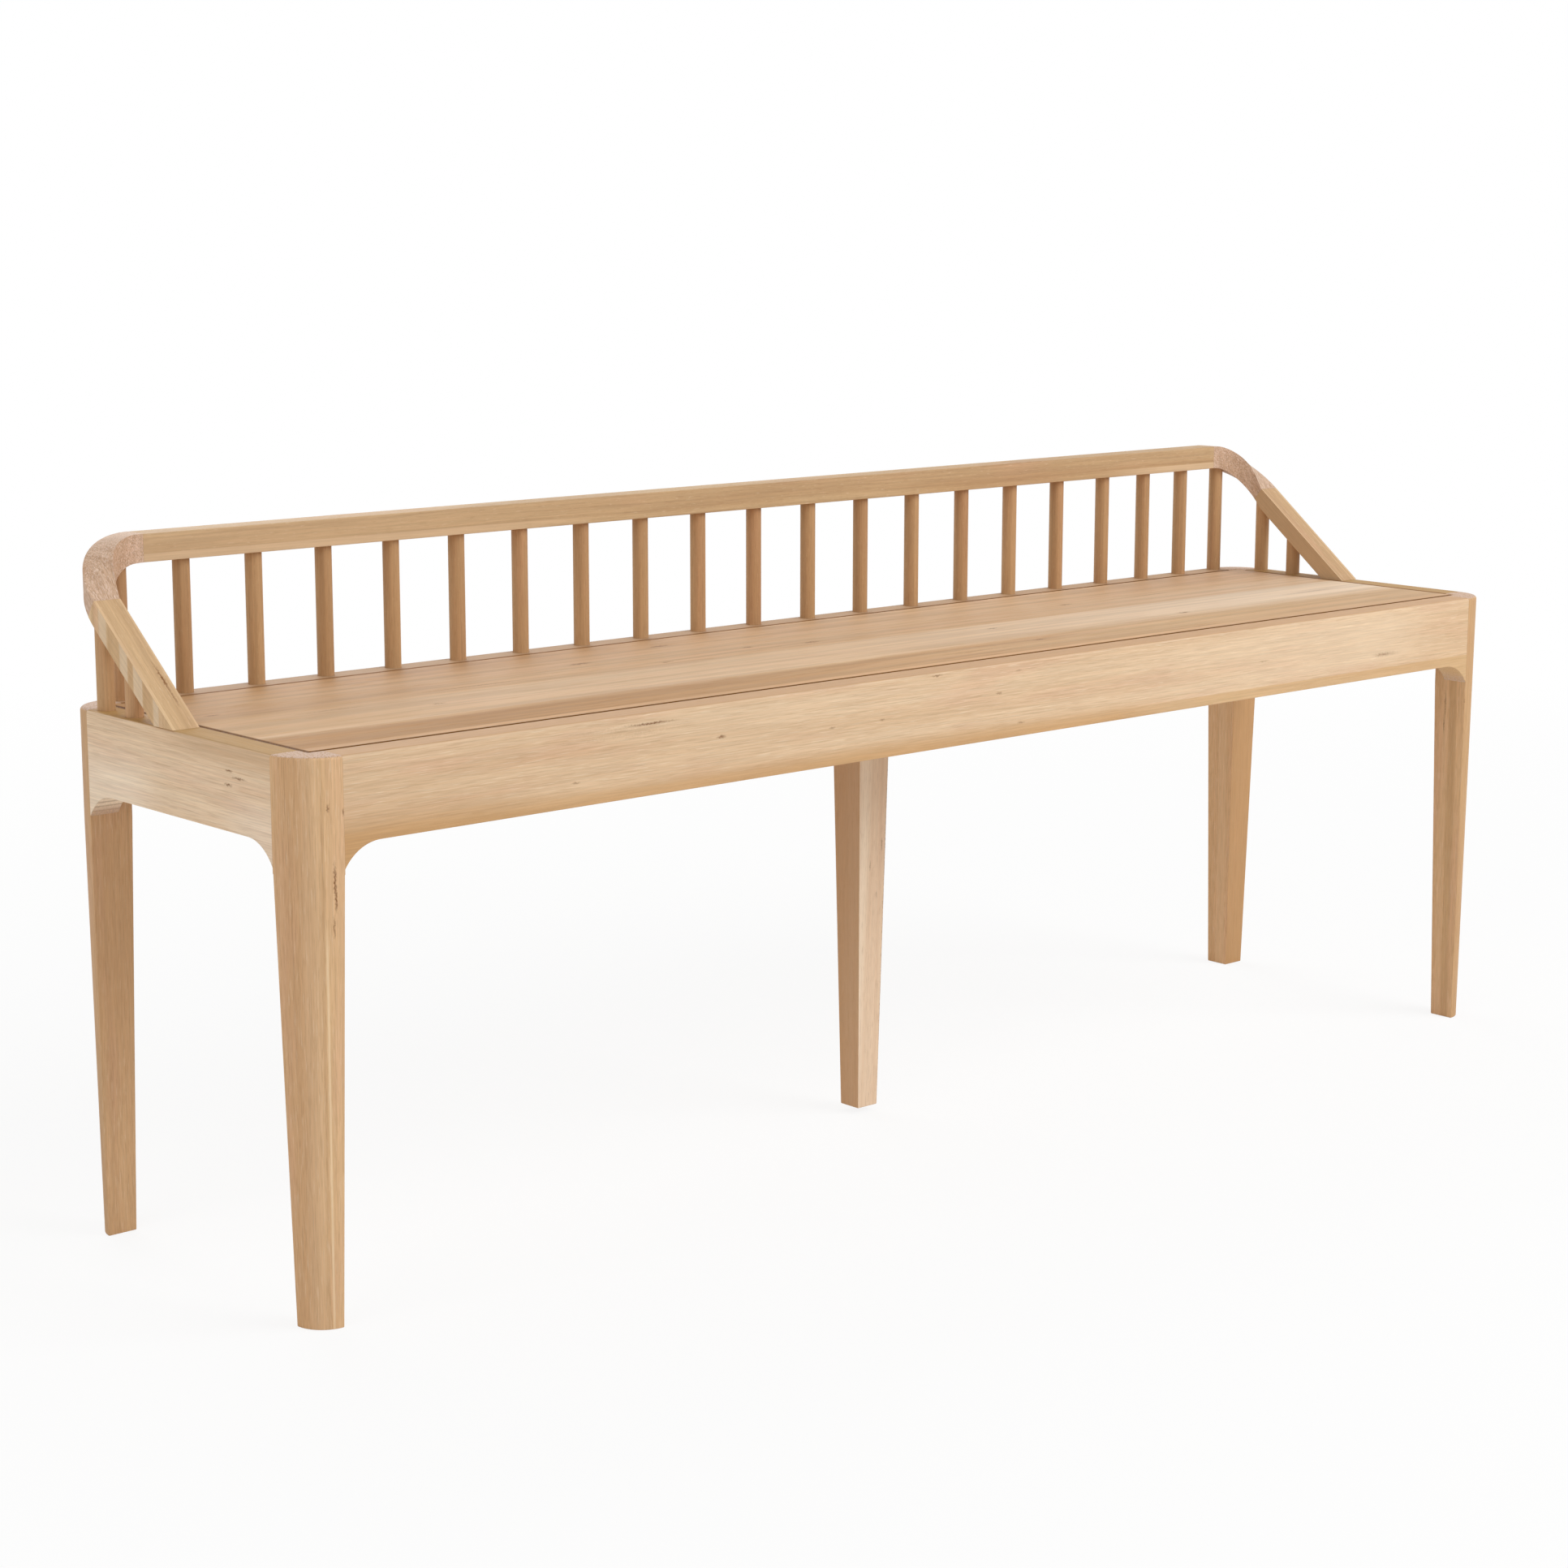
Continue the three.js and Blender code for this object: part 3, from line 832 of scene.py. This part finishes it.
@dataclass
class Seat:
    """The seat panel and the four aprons round it."""

    bench: JoinersBench
    panel_arris: float = 0.15 * MM
    # How strongly and where the painted shade beside the groove lies on an apron's rim, and where the
    # painted shade on its inner wall lies, in millimetres from the wall.
    rim_shade: float = 0.85
    rim_shade_bare: float = 2.5
    rim_shade_full: float = 1.0
    wall_bare: float = 0.2
    wall_full: float = 0.1

    def build(self) -> None:
        """Makes and dresses the panel and the aprons."""
        panel = self.bench.ease("seat_panel", self.panel_arris)
        dress(panel, SEAT_OAK.material(self._panel()))
        for name in ("front_apron", "back_apron"):
            dress(self.bench.ease(name), FRAME_OAK.material(self._long_apron(name)))
        for name in ("left_end_apron", "right_end_apron"):
            dress(self.bench.ease(name), PALE_OAK.material(self._end_apron(name)))

    def _panel(self) -> Board:
        """The panel's three glued staves, a tan one in front, with their checks and streaks, and
        painted shade at the groove round it.

        Returns:
            The board.
        """
        bands = (
            Band("#a87840", 0.86, (Edge(DEEP, -72, -96), Edge(ALONG, 600, -500))),
            Band("#c9a67c", 0.6, (Edge(DEEP, -75.2, -76.8), Edge(ALONG, 0, 500))),
            Band("#b68d63", 0.45, (Edge(DEEP, -112, -130), Edge(ALONG, -400, 500))),
            Band("#dcb084", 0.55, (Edge(DEEP, -134, -139),)),
            Band("#d9ba98", 0.5, (Edge(DEEP, -80, -72), Edge(DEEP, 20, 8))),
            Band("#ead5bd", 0.6, (Edge(DEEP, -76, -44), Edge(DEEP, 20, 8), Edge(ALONG, -200, 700))),
            Band("#c8a27c", 0.5, (Edge(DEEP, 10, 24),)),
            Band("#b0855b", 0.72, (Edge(DEEP, 60, 130), Edge(ALONG, 260, -400))),
            Band("#d9bfa4", 0.4, (Edge(DEEP, 90, 40), Edge(DEEP, 10, 24), Edge(ALONG, 100, 650))),
            Band("#b98f5e", 0.6, (Edge(ALONG, -430, -640), Edge(DEEP, -80, -60))),
            Band("#b89271", 0.45, (Edge(ALONG, 300, 560), Edge(DEEP, 55, 100))),
            Band("#bd9569", 0.35, (Edge(ALONG, 250, 560), Edge(DEEP, -80, -88), Edge(DEEP, -132, -126))),
            Band("#a87c52", 0.25, (
                Edge(ALONG, -430, -470), Edge(ALONG, -700, -660), Edge(DEEP, 19, 30), Edge(DEEP, 80, 66),
            )),
        )
        spots = (
            (-284, 71.5, 22, 5.5), (-159, 110, 26, 5.0), (-32, 36, 18, 6.0), (-511, -27, 14, 4.0),
            (-217, 27, 12, 4.0), (-100, 50, 12, 4.0), (-687, 45, 14, 4.0), (350, 65, 18, 5.5),
            (397, -56, 16, 5.0), (146, -95, 16, 4.5), (165, -11, 14, 4.0),
        )
        marks = [Mark((x, y, SEAT_LEVEL), length, width, 0.75) for x, y, length, width in spots]
        marks += [Mark((x, y, SEAT_LEVEL), length, 3.5, 0.4) for x, y, length in (
            (-597, 4, 70), (630, -32, 80), (480, 62, 80), (340, -133, 40), (48, -108, 90), (-430, 30, 110),
        )]
        low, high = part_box("seat_panel")
        # Painted shade along the panel's edges, beside the groove round it.
        groove_edge_shades = (
            (DEEP, low.y / MM, 3.4, 1.6, 0.8), (ALONG, low.x / MM, 3.0, 1.8, 0.9),
            (DEEP, high.y / MM, -2.5, -1.0, 0.7), (ALONG, high.x / MM, -2.5, -1.0, 0.7),
        )
        bands += tuple(
            Band(GROOVE_EDGE_SHADE_TONE, strength, (Edge(run, rim + bare, rim + full),))
            for run, rim, bare, full, strength in groove_edge_shades
        )
        # Painted shade on the panel's sides, down in the groove.
        bands += (Band(GROOVE_SHADE_TONE, 1.0, GROOVE_SHADE_DEPTH),)
        return Board("seat_panel", ALONG.axis, DEEP.axis, bands, tuple(marks), wander=10)

    def _beside_groove(self, run: Run, wall: float) -> tuple[Band, Band]:
        """Painted shade that the groove gives an apron: a darker rim beside it, and a dark inner wall.

        Args:
            run: the axis across the apron.
            wall: where the apron's inner wall is on that axis, in millimetres.

        Returns:
            The stain and the dark wall.
        """
        way = math.copysign(1, wall)
        rim_shaded = Edge(run, wall + self.rim_shade_bare * way, wall + self.rim_shade_full * way)
        dark = Edge(run, wall + self.wall_bare * way, wall + self.wall_full * way)
        return Band(GROOVE_EDGE_SHADE_TONE, self.rim_shade, (rim_shaded, RIM)), Band(GROOVE_SHADE_TONE, 1.0, (dark, *GROOVE_SHADE_DEPTH))

    def _long_apron(self, name: str) -> Board:
        """A long apron's board, with a tan strip along its lower edge and a few checks.

        Args:
            name: the apron's node.

        Returns:
            The board.
        """
        front = name == "front_apron"
        side = -APRON_FACE if front else APRON_FACE
        low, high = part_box(name)
        wall = (high.y if front else low.y) / MM
        bands = (
            Band("#f0dabd", 0.4, (
                Edge(ALONG, 0, 650), Edge(ALONG, 700, 540),
                Edge(UPRIGHT, 398, 412), Edge(UPRIGHT, 464, 444),
            )),
            Band("#bf9263", 0.4, (Edge(ALONG, -470, -620), Edge(UPRIGHT, 424, 404))),
            Band("#cca471", 0.65, (Edge(UPRIGHT, 400.6, 399.4), Edge(ALONG, 150, 300))),
            Band("#c59762", 0.8, (Edge(UPRIGHT, 410, 392), Edge(ALONG, 300, 150))),
            Band("#c69e76" if front else "#b69370", 1.0, (RIM,)),
            # Painted shade on the rim beside the groove and on the wall inside it.
            *self._beside_groove(DEEP, wall),
        )
        checks = (
            (-406, 450.8, 46, 1.7, 0.9), (-425, 447, 120, 9, 0.14), (4.7, 432.9, 7, 2.2, 0.7),
            (-142, 424.5, 5, 1.8, 0.5), (30, 451.4, 9, 1.6, 0.45), (34, 402.6, 9, 1.8, 0.5),
            (571, 414, 36, 4, 0.3), (-329, 430.7, 9, 2.2, 0.8), (-202, 424, 6, 2.0, 0.5),
            (-485, 410.4, 8, 1.8, 0.5), (567, 414, 22, 1.8, 0.5), (377, 425.4, 14, 1.8, 0.35),
            (-75, 457, 12, 1.8, 0.6),
        )
        marks = tuple(Mark((x, side, z), *sizes) for x, z, *sizes in checks)
        return Board(name, ALONG.axis, UP, bands, marks)

    def _end_apron(self, name: str) -> Board:
        """An end apron's board: pale, with a tan top, wavy grain and striped back brackets.

        Args:
            name: the apron's node.

        Returns:
            The board.
        """
        left = name == "left_end_apron"
        side = -END_FACE if left else END_FACE
        low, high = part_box(name)
        wall = (high.x if left else low.x) / MM
        bands = (
            Band("#c7a27b", 0.7, (Edge(UPRIGHT, 436, 454), Edge(DEEP, 110, -70))),
            Band("#f6e6d6", 0.25, (Edge(UPRIGHT, 426, 406), Edge(DEEP, -50, -120))),
            Band("#fff1dd", 0.36, (Edge(UPRIGHT, 444, 408), Edge(DEEP, 10, 80))),
            Band("#b28b54", 1.0, (RIM,)),
            # Painted shade on the rim beside the groove and on the wall inside it.
            *self._beside_groove(ALONG, wall),
        )
        ends = (Edge(DEEP, 112, 118), Edge(ALONG, side, math.copysign(END_FACE - 1.0, side)))
        bands += tuple(
            Band("#a08064", 0.6, (Edge(UPRIGHT, z - 1.4, z), Edge(UPRIGHT, z + 1.4, z), *ends))
            for z in (374, 378.5, 383, 388, 393)
        )
        marks = (
            Mark((side, -80, 439), 9, 1.9, 0.9), Mark((side, -94, 434.5), 20, 1.6, 0.85),
            Mark((side, -78.5, 427.8), 10, 1.9, 0.9),
        )
        return Board(name, DEEP.axis, UP, bands, marks, wander=14)


@dataclass
class Legs:
    """The four corner legs and the centre leg."""

    bench: JoinersBench
    centre_taper: float = 0.0197

    def build(self) -> None:
        """Makes and dresses the five legs."""
        front_checks = (
            Mark((-719.0, -178, 362), 26, 2.2, 0.95), Mark((-718.2, -178, 347), 16, 1.8, 0.9),
            Mark((-720.1, -177.3, 326), 16, 1.8, 0.7), Mark((-723, -176.8, 420.2), 6, 2.2, 0.8),
            Mark((-710.6, -179, 416), 6, 2.0, 0.7),
        )
        far_checks = (
            Mark((710, -APRON_FACE, 349.7), 6, 2.2), Mark((710.4, -153.5, 345), 32, 1.8, 0.7),
            Mark((710.9, -152.5, 322), 18, 1.5, 0.6),
        )
        lit_side = (
            Band("#f2d8b6", 0.12, (Edge(ALONG, -742, -738), Edge(ALONG, -726, -732))),
            Band("#f6dcb4", 0.5, (
                Edge(ALONG, -727, -725.9), Edge(ALONG, -724.3, -725.2), Edge(UPRIGHT, 340, 300),
            )),
            Band("#ecc9a0", 0.15, (Edge(ALONG, -729, -722),)),
        )
        far_side = (
            Band("#dcb88f", 0.25, (Edge(DEEP, -149, -152), Edge(DEEP, -158, -155.5))),
            Band("#a37c4e", 0.35, (Edge(DEEP, -157, -160), Edge(DEEP, -170, -166))),
        )
        middle = Band("#d3a678", 0.35, (Edge(UPRIGHT, 400, 300), Edge(UPRIGHT, 120, 200)))
        pale_strip = Band("#dcb88f", 0.35, (Edge(DEEP, 163, 160), Edge(DEEP, 147, 152)))
        legs = (
            Board("front_left_leg", UP, ALONG.axis, lit_side, front_checks, 5, 1.01),
            Board("front_right_leg", UP, DEEP.axis, far_side, far_checks, 5, 1.0, 0.56),
            Board("back_left_leg", UP, ALONG.axis, (middle,), wander=5, shade=0.93),
            Board("back_right_leg", UP, DEEP.axis, (pale_strip,), wander=5, shade=1.11, flat_sawn=0.8),
        )
        for board in legs:
            dress(self.bench.ease(board.seed), LEG_OAK.material(board))
        # The last spot is a long dark strip down the leg's right arris.
        spots = (
            Mark((-2.9, -17, 246.2), 9, 1.6, 0.6), Mark((12, -17.2, 265.6), 12, 1.8, 0.6),
            Mark((6, -16.5, 217), 6, 1.6, 0.4), Mark((17.0, -17.1, 260), 420, 1.5, 0.95),
        )
        along_taper = Vector((self.centre_taper, -self.centre_taper, 1))
        board = Board(
            "centre_leg", along_taper, ALONG.axis, (), spots, wander=5, shade=0.965, flat_sawn=0.75,
        )
        dress(self.bench.ease(board.seed), CENTRE_OAK.material(board))


@dataclass
class UnderFrame:
    """What carries the seat from below: bearers, glue blocks and dowels."""

    bench: JoinersBench

    def build(self) -> None:
        """Makes and dresses the inner pieces."""
        sides = ("left", "right")
        bearers = [f"{place}_cross_bearer" for place in ("left", "centre", "right")]
        blocks = [f"{face}_{side}_glue_block" for face in ("front", "back") for side in sides]
        boards = [Board(name, DEEP.axis, ALONG.axis) for name in bearers]
        boards += [Board(name, UP, ALONG.axis) for name in blocks]
        for side in sides:
            boards.append(Board(f"{side}_rail_dowel", ALONG.axis, UP))
            boards.append(Board(f"{side}_arm_foot_dowel", UP, ALONG.axis))
        for board in boards:
            dress(self.bench.ease(board.seed), INNER_OAK.material(board))


@dataclass
class Screws:
    """The pan-head screws that hold the panel down, two in each bearer."""

    head: float = 4.0 * MM
    rise: float = 2.2 * MM
    recess: float = 2.0 * MM
    slot: float = 0.5 * MM
    depth: float = 1.2 * MM
    inset: float = 60 * MM
    doming: float = 0.86
    merge: float = 0.001 * MM
    rings: int = 14
    sides: int = 48

    def build(self) -> None:
        """Makes and dresses the screws under the three bearers."""
        steel = PlatedSteel().material()
        for side in ("left", "centre", "right"):
            low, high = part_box(f"{side}_cross_bearer")
            for face, depth in (("front", low.y + self.inset), ("back", high.y - self.inset)):
                mesh = self._head(Vector(((low.x + high.x) / 2, depth, low.z)))
                piece = bpy.data.objects.new(f"{side}_{face}_screw", mesh)
                bpy.context.scene.collection.objects.link(piece)
                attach(piece, ROOT_BODY)
                dress(piece, steel)

    def _head(self, place: Vector) -> Mesh:
        """Makes a domed head that hangs from a place, with a cross recess.

        Args:
            place: the middle of the head's flat side.

        Returns:
            The head's mesh.
        """
        shape = bmesh.new()
        loops = []
        for ring in range(self.rings + 1):
            reach = self.head * ring / self.rings
            loop = []
            for x, y in circle(self.sides):
                across, along = reach * x, reach * y
                drop = self.rise * math.sqrt(1 - self.doming * (reach / self.head) ** 2)
                if min(abs(across), abs(along)) < self.slot and reach < self.recess:
                    drop -= self.depth * (1 - reach / self.recess)
                loop.append(shape.verts.new(place + Vector((across, along, -drop))))
            loops.append(loop)
        rim = [place + self.head * Vector((x, y, 0)) for x, y in circle(self.sides)]
        loops.append([shape.verts.new(corner) for corner in rim])
        span_rings(shape, loops)
        shape.faces.new(loops[-1])
        bmesh.ops.remove_doubles(shape, verts=shape.verts, dist=self.merge)
        bmesh.ops.recalc_face_normals(shape, faces=shape.faces)
        return finished_mesh(shape, "screw_head")


@dataclass
class Back:
    """The rail, its bent corners, the arms and the spindles."""

    bench: JoinersBench
    spindle_sides: int = 40
    spindle_arris: float = 1.0 * MM
    arm_fall: float = 0.785
    bend_fall: float = 4 / 3

    def build(self) -> None:
        """Makes and dresses the whole back."""
        self._rail()
        self._sides()
        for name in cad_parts:
            if "spindle" in name:
                self._spindle(name)

    def _rail(self) -> None:
        """Makes and dresses the rail, with a pale strip here and there along its lower edge."""
        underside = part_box("back_rail")[0].z / MM
        strip = Edge(UPRIGHT, underside + 7.4, underside + 6.6)
        bands = (
            Band("#e0bf98", 0.26, (Edge(ALONG, 0, -650),)),
            Band("#b08559", 0.35, (Edge(ALONG, 150, 300), Edge(UPRIGHT, underside + 16, underside + 8))),
            Band("#dcbd98", 0.75, (strip, Edge(ALONG, -150, -380))),
            Band("#dcbd98", 0.75, (strip, Edge(ALONG, 480, 590))),
        )
        rail = Board("back_rail", ALONG.axis, UP, bands)
        dress(self.bench.ease("back_rail"), RAIL_OAK.material(rail))

    def _sides(self) -> None:
        """Makes and dresses the bent corners and the arms."""
        down_bend = Vector((0, -1, -self.bend_fall))
        down_arm = Vector((0, -1, -self.arm_fall))
        crack = (Mark((-731.3, 46.5, 495.0), 30, 2.4, 0.95), Mark((-731.3, 29.6, 481.7), 20, 1.6, 0.6))
        left_arm = Board(
            "left_arm", down_arm, ALONG.axis, self._arris_highlights("left_arm"), crack, shade=1.15,
            face_grain=UP, face_bands=self._ray_bands(),
        )
        right_arm = Board(
            "right_arm", down_arm, ALONG.axis, self._arris_highlights("right_arm"), shade=1.07,
            face_grain=UP, flat_sawn=0.8,
        )
        for side, arm, shade in (("left", left_arm, 1.0), ("right", right_arm, 0.94)):
            bend = Board(f"{side}_bent_corner", down_bend, ALONG.axis, wander=14, shade=shade)
            dress(self.bench.ease(bend.seed), CORNER_OAK.material(bend))
            dress(self.bench.ease(arm.seed), RAIL_OAK.material(arm))

    def _arris_highlights(self, name: str) -> tuple[Band, ...]:
        """The thin pale lines along an arm's long arrises: painted highlights where the arrises catch the
        light.

        Args:
            name: the arm's node.

        Returns:
            A band inside each side of the arm.
        """
        low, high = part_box(name)
        sides = ((low.x / MM, 1), (high.x / MM, -1))
        # Each band is a painted highlight just inside one long arris.
        return tuple(
            Band("#e2c49c", 0.35, (Edge(ALONG, x + 3.2 * way, x + 2.2 * way), Edge(ALONG, x, x + 0.4 * way)))
            for x, way in sides
        )

    def _ray_bands(self) -> tuple[Band, ...]:
        """The pale upright ray bands on an arm's sides, and tan ones between them.

        Returns:
            The bands.
        """
        pale = ((112, 103, 3), (80, 71, 3), (60, 48, 2), (30, 24, 2))
        tan = ((98, 84, 3), (68, 62, 2), (45, 34, 3))
        return tuple(
            Band(tone, strength, (Edge(DEEP, back + soft, back), Edge(DEEP, front - soft, front)))
            for tone, strength, spans in (("#d2bb9e", 0.6, pale), ("#b58f64", 0.5, tan))
            for back, front, soft in spans
        )

    def _spindle(self, name: str) -> None:
        """Turns one spindle, finer than the frame's, and dresses it.

        Args:
            name: the spindle's node.
        """
        low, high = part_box(name)
        radius = (high.x - low.x) / 2
        middle = (low + high) / 2
        eased = radius - self.spindle_arris
        foot, head = low.z + self.spindle_arris, high.z - self.spindle_arris
        shape = bmesh.new()
        rings = []
        for reach, level in ((eased, low.z), (radius, foot), (radius, head), (eased, high.z)):
            flat = [middle.xy + reach * Vector(corner) for corner in circle(self.spindle_sides)]
            rings.append([shape.verts.new((x, y, level)) for x, y in flat])
        span_rings(shape, rings)
        shape.faces.new(rings[0][::-1])
        shape.faces.new(rings[-1])
        for face in shape.faces:
            face.smooth = True
        for edge in shape.edges:
            edge.smooth = edge.calc_face_angle() < self.bench.sharp
        piece = self.bench.fit(name, finished_mesh(shape, f"{name}_oak"))
        dress(piece, SPINDLE_OAK.material(Board(name, UP, ALONG.axis, wander=4)))


@dataclass
class Studio:
    """A pale floor, soft lights and the camera."""

    camera_place: tuple[float, float, float] = (-2.0529, -2.1943, 0.8936)
    camera_yaw: float = math.radians(41.690)
    camera_pitch: float = math.radians(10.748)
    camera_roll: float = math.radians(0.099)
    focal_pixels: float = 3927.37
    photo_pixels: float = 1932.0
    sensor: float = 36.0
    floor_reach: float = 9.0
    floor_tone: str = "#f6f6f5"
    shadow_share: float = 0.86
    shadow_from: float = 1.0
    shadow_to: float = 3.0
    room_light: float = 0.45
    lamps_aim: tuple[float, float, float] = (0, 0, 0.35)

    def build(self) -> None:
        """Sets up the camera, the floor, the lights and the view."""
        self._camera()
        self._floor()
        self._world()
        self._lamp("key_lamp", (1.7, -2.6, 2.7), size=2.4, watts=84.0)
        self._lamp("fill_lamp", (-3.4, -0.8, 1.9), size=2.4, watts=27.0)
        self._lamp("back_lamp", (0.4, 2.8, 2.6), size=2.6, watts=36.0)
        bpy.context.scene.view_settings.view_transform = "Standard"

    def _camera(self) -> None:
        """Makes the camera at the photograph's viewing angle."""
        data = bpy.data.cameras.new("camera")
        data.sensor_width = self.sensor
        data.lens = self.focal_pixels / self.photo_pixels * self.sensor
        camera = bpy.data.objects.new("camera", data)
        placed = Matrix.Translation(self.camera_place)
        tilt = math.pi / 2 - self.camera_pitch
        for angle, axis in ((-self.camera_yaw, "Z"), (tilt, "X"), (self.camera_roll, "Z")):
            placed = placed @ Matrix.Rotation(angle, 4, axis)
        camera.matrix_world = placed
        bpy.context.scene.collection.objects.link(camera)
        bpy.context.scene.camera = camera

    def _floor(self) -> None:
        """Makes a wide pale floor, whiter far off, that keeps the bench's soft shadow."""
        mesh = bpy.data.meshes.new("floor")
        corners = [self.floor_reach * Vector((x, y, 0)) for x, y in ((-1, -1), (1, -1), (1, 1), (-1, 1))]
        mesh.from_pydata(corners, [], [(0, 1, 2, 3)])
        floor = bpy.data.objects.new("floor", mesh)
        bpy.context.scene.collection.objects.link(floor)
        material = bpy.data.materials.new("matt_white_floor")
        tree = blank_tree(material)
        matt = add_node(tree, "BsdfDiffuse", {"Color": linear(self.floor_tone)})
        glow = add_node(tree, "Emission", {"Color": WHITE, "Strength": 1.0})
        place = add_node(tree, "TexCoord").outputs["Object"]
        whiter = add_node(tree, "MapRange", {
            "Value": add_node(tree, "VectorMath", {0: place}, operation="LENGTH"),
            "From Min": self.shadow_from, "From Max": self.shadow_to,
            "To Min": self.shadow_share,
        })
        seen = add_node(tree, "LightPath").outputs["Is Camera Ray"]
        share = add_node(tree, "Math", {0: seen, 1: whiter}, operation="MULTIPLY")
        mixed = add_node(tree, "MixShader", {0: share, 1: matt, 2: glow})
        add_node(tree, "OutputMaterial", {"Surface": mixed})
        mesh.materials.append(material)

    def _world(self) -> None:
        """Fills the room with soft light, and shows white to the camera."""
        world = bpy.data.worlds.new("studio")
        tree = blank_tree(world)
        paths = add_node(tree, "LightPath").outputs
        shown = paths["Is Camera Ray"]
        for kind in ("Is Glossy Ray", "Is Transmission Ray"):
            shown = add_node(tree, "Math", {0: shown, 1: paths[kind]}, operation="MAXIMUM")
        soft = add_node(tree, "Background", {"Color": WHITE, "Strength": self.room_light})
        white = add_node(tree, "Background", {"Color": WHITE, "Strength": 1.0})
        mixed = add_node(tree, "MixShader", {0: shown, 1: soft, 2: white})
        add_node(tree, "OutputWorld", {"Surface": mixed})
        bpy.context.scene.world = world

    def _lamp(self, name: str, place: tuple[float, float, float], size: float, watts: float) -> None:
        """Hangs a large square lamp that faces the bench.

        Args:
            name: the lamp's name.
            place: where it hangs.
            size: its side in metres.
            watts: its power.
        """
        data = bpy.data.lights.new(name, "AREA")
        data.size = size
        data.energy = watts
        lamp = bpy.data.objects.new(name, data)
        lamp.location = place
        towards = Vector(self.lamps_aim) - lamp.location
        lamp.rotation_mode = "QUATERNION"
        lamp.rotation_quaternion = towards.to_track_quat("-Z", "Y")
        bpy.context.scene.collection.objects.link(lamp)


def main() -> None:
    """Builds and dresses the bench and sets up the studio."""
    logging.basicConfig(level=logging.INFO, format="%(name)s: %(message)s")
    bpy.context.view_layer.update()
    bench = JoinersBench()
    bench.lay_out()
    for part in (Seat(bench), Legs(bench), UnderFrame(bench), Screws(), Back(bench)):
        part.build()
    Studio().build()


if __name__ == "__main__":
    main()
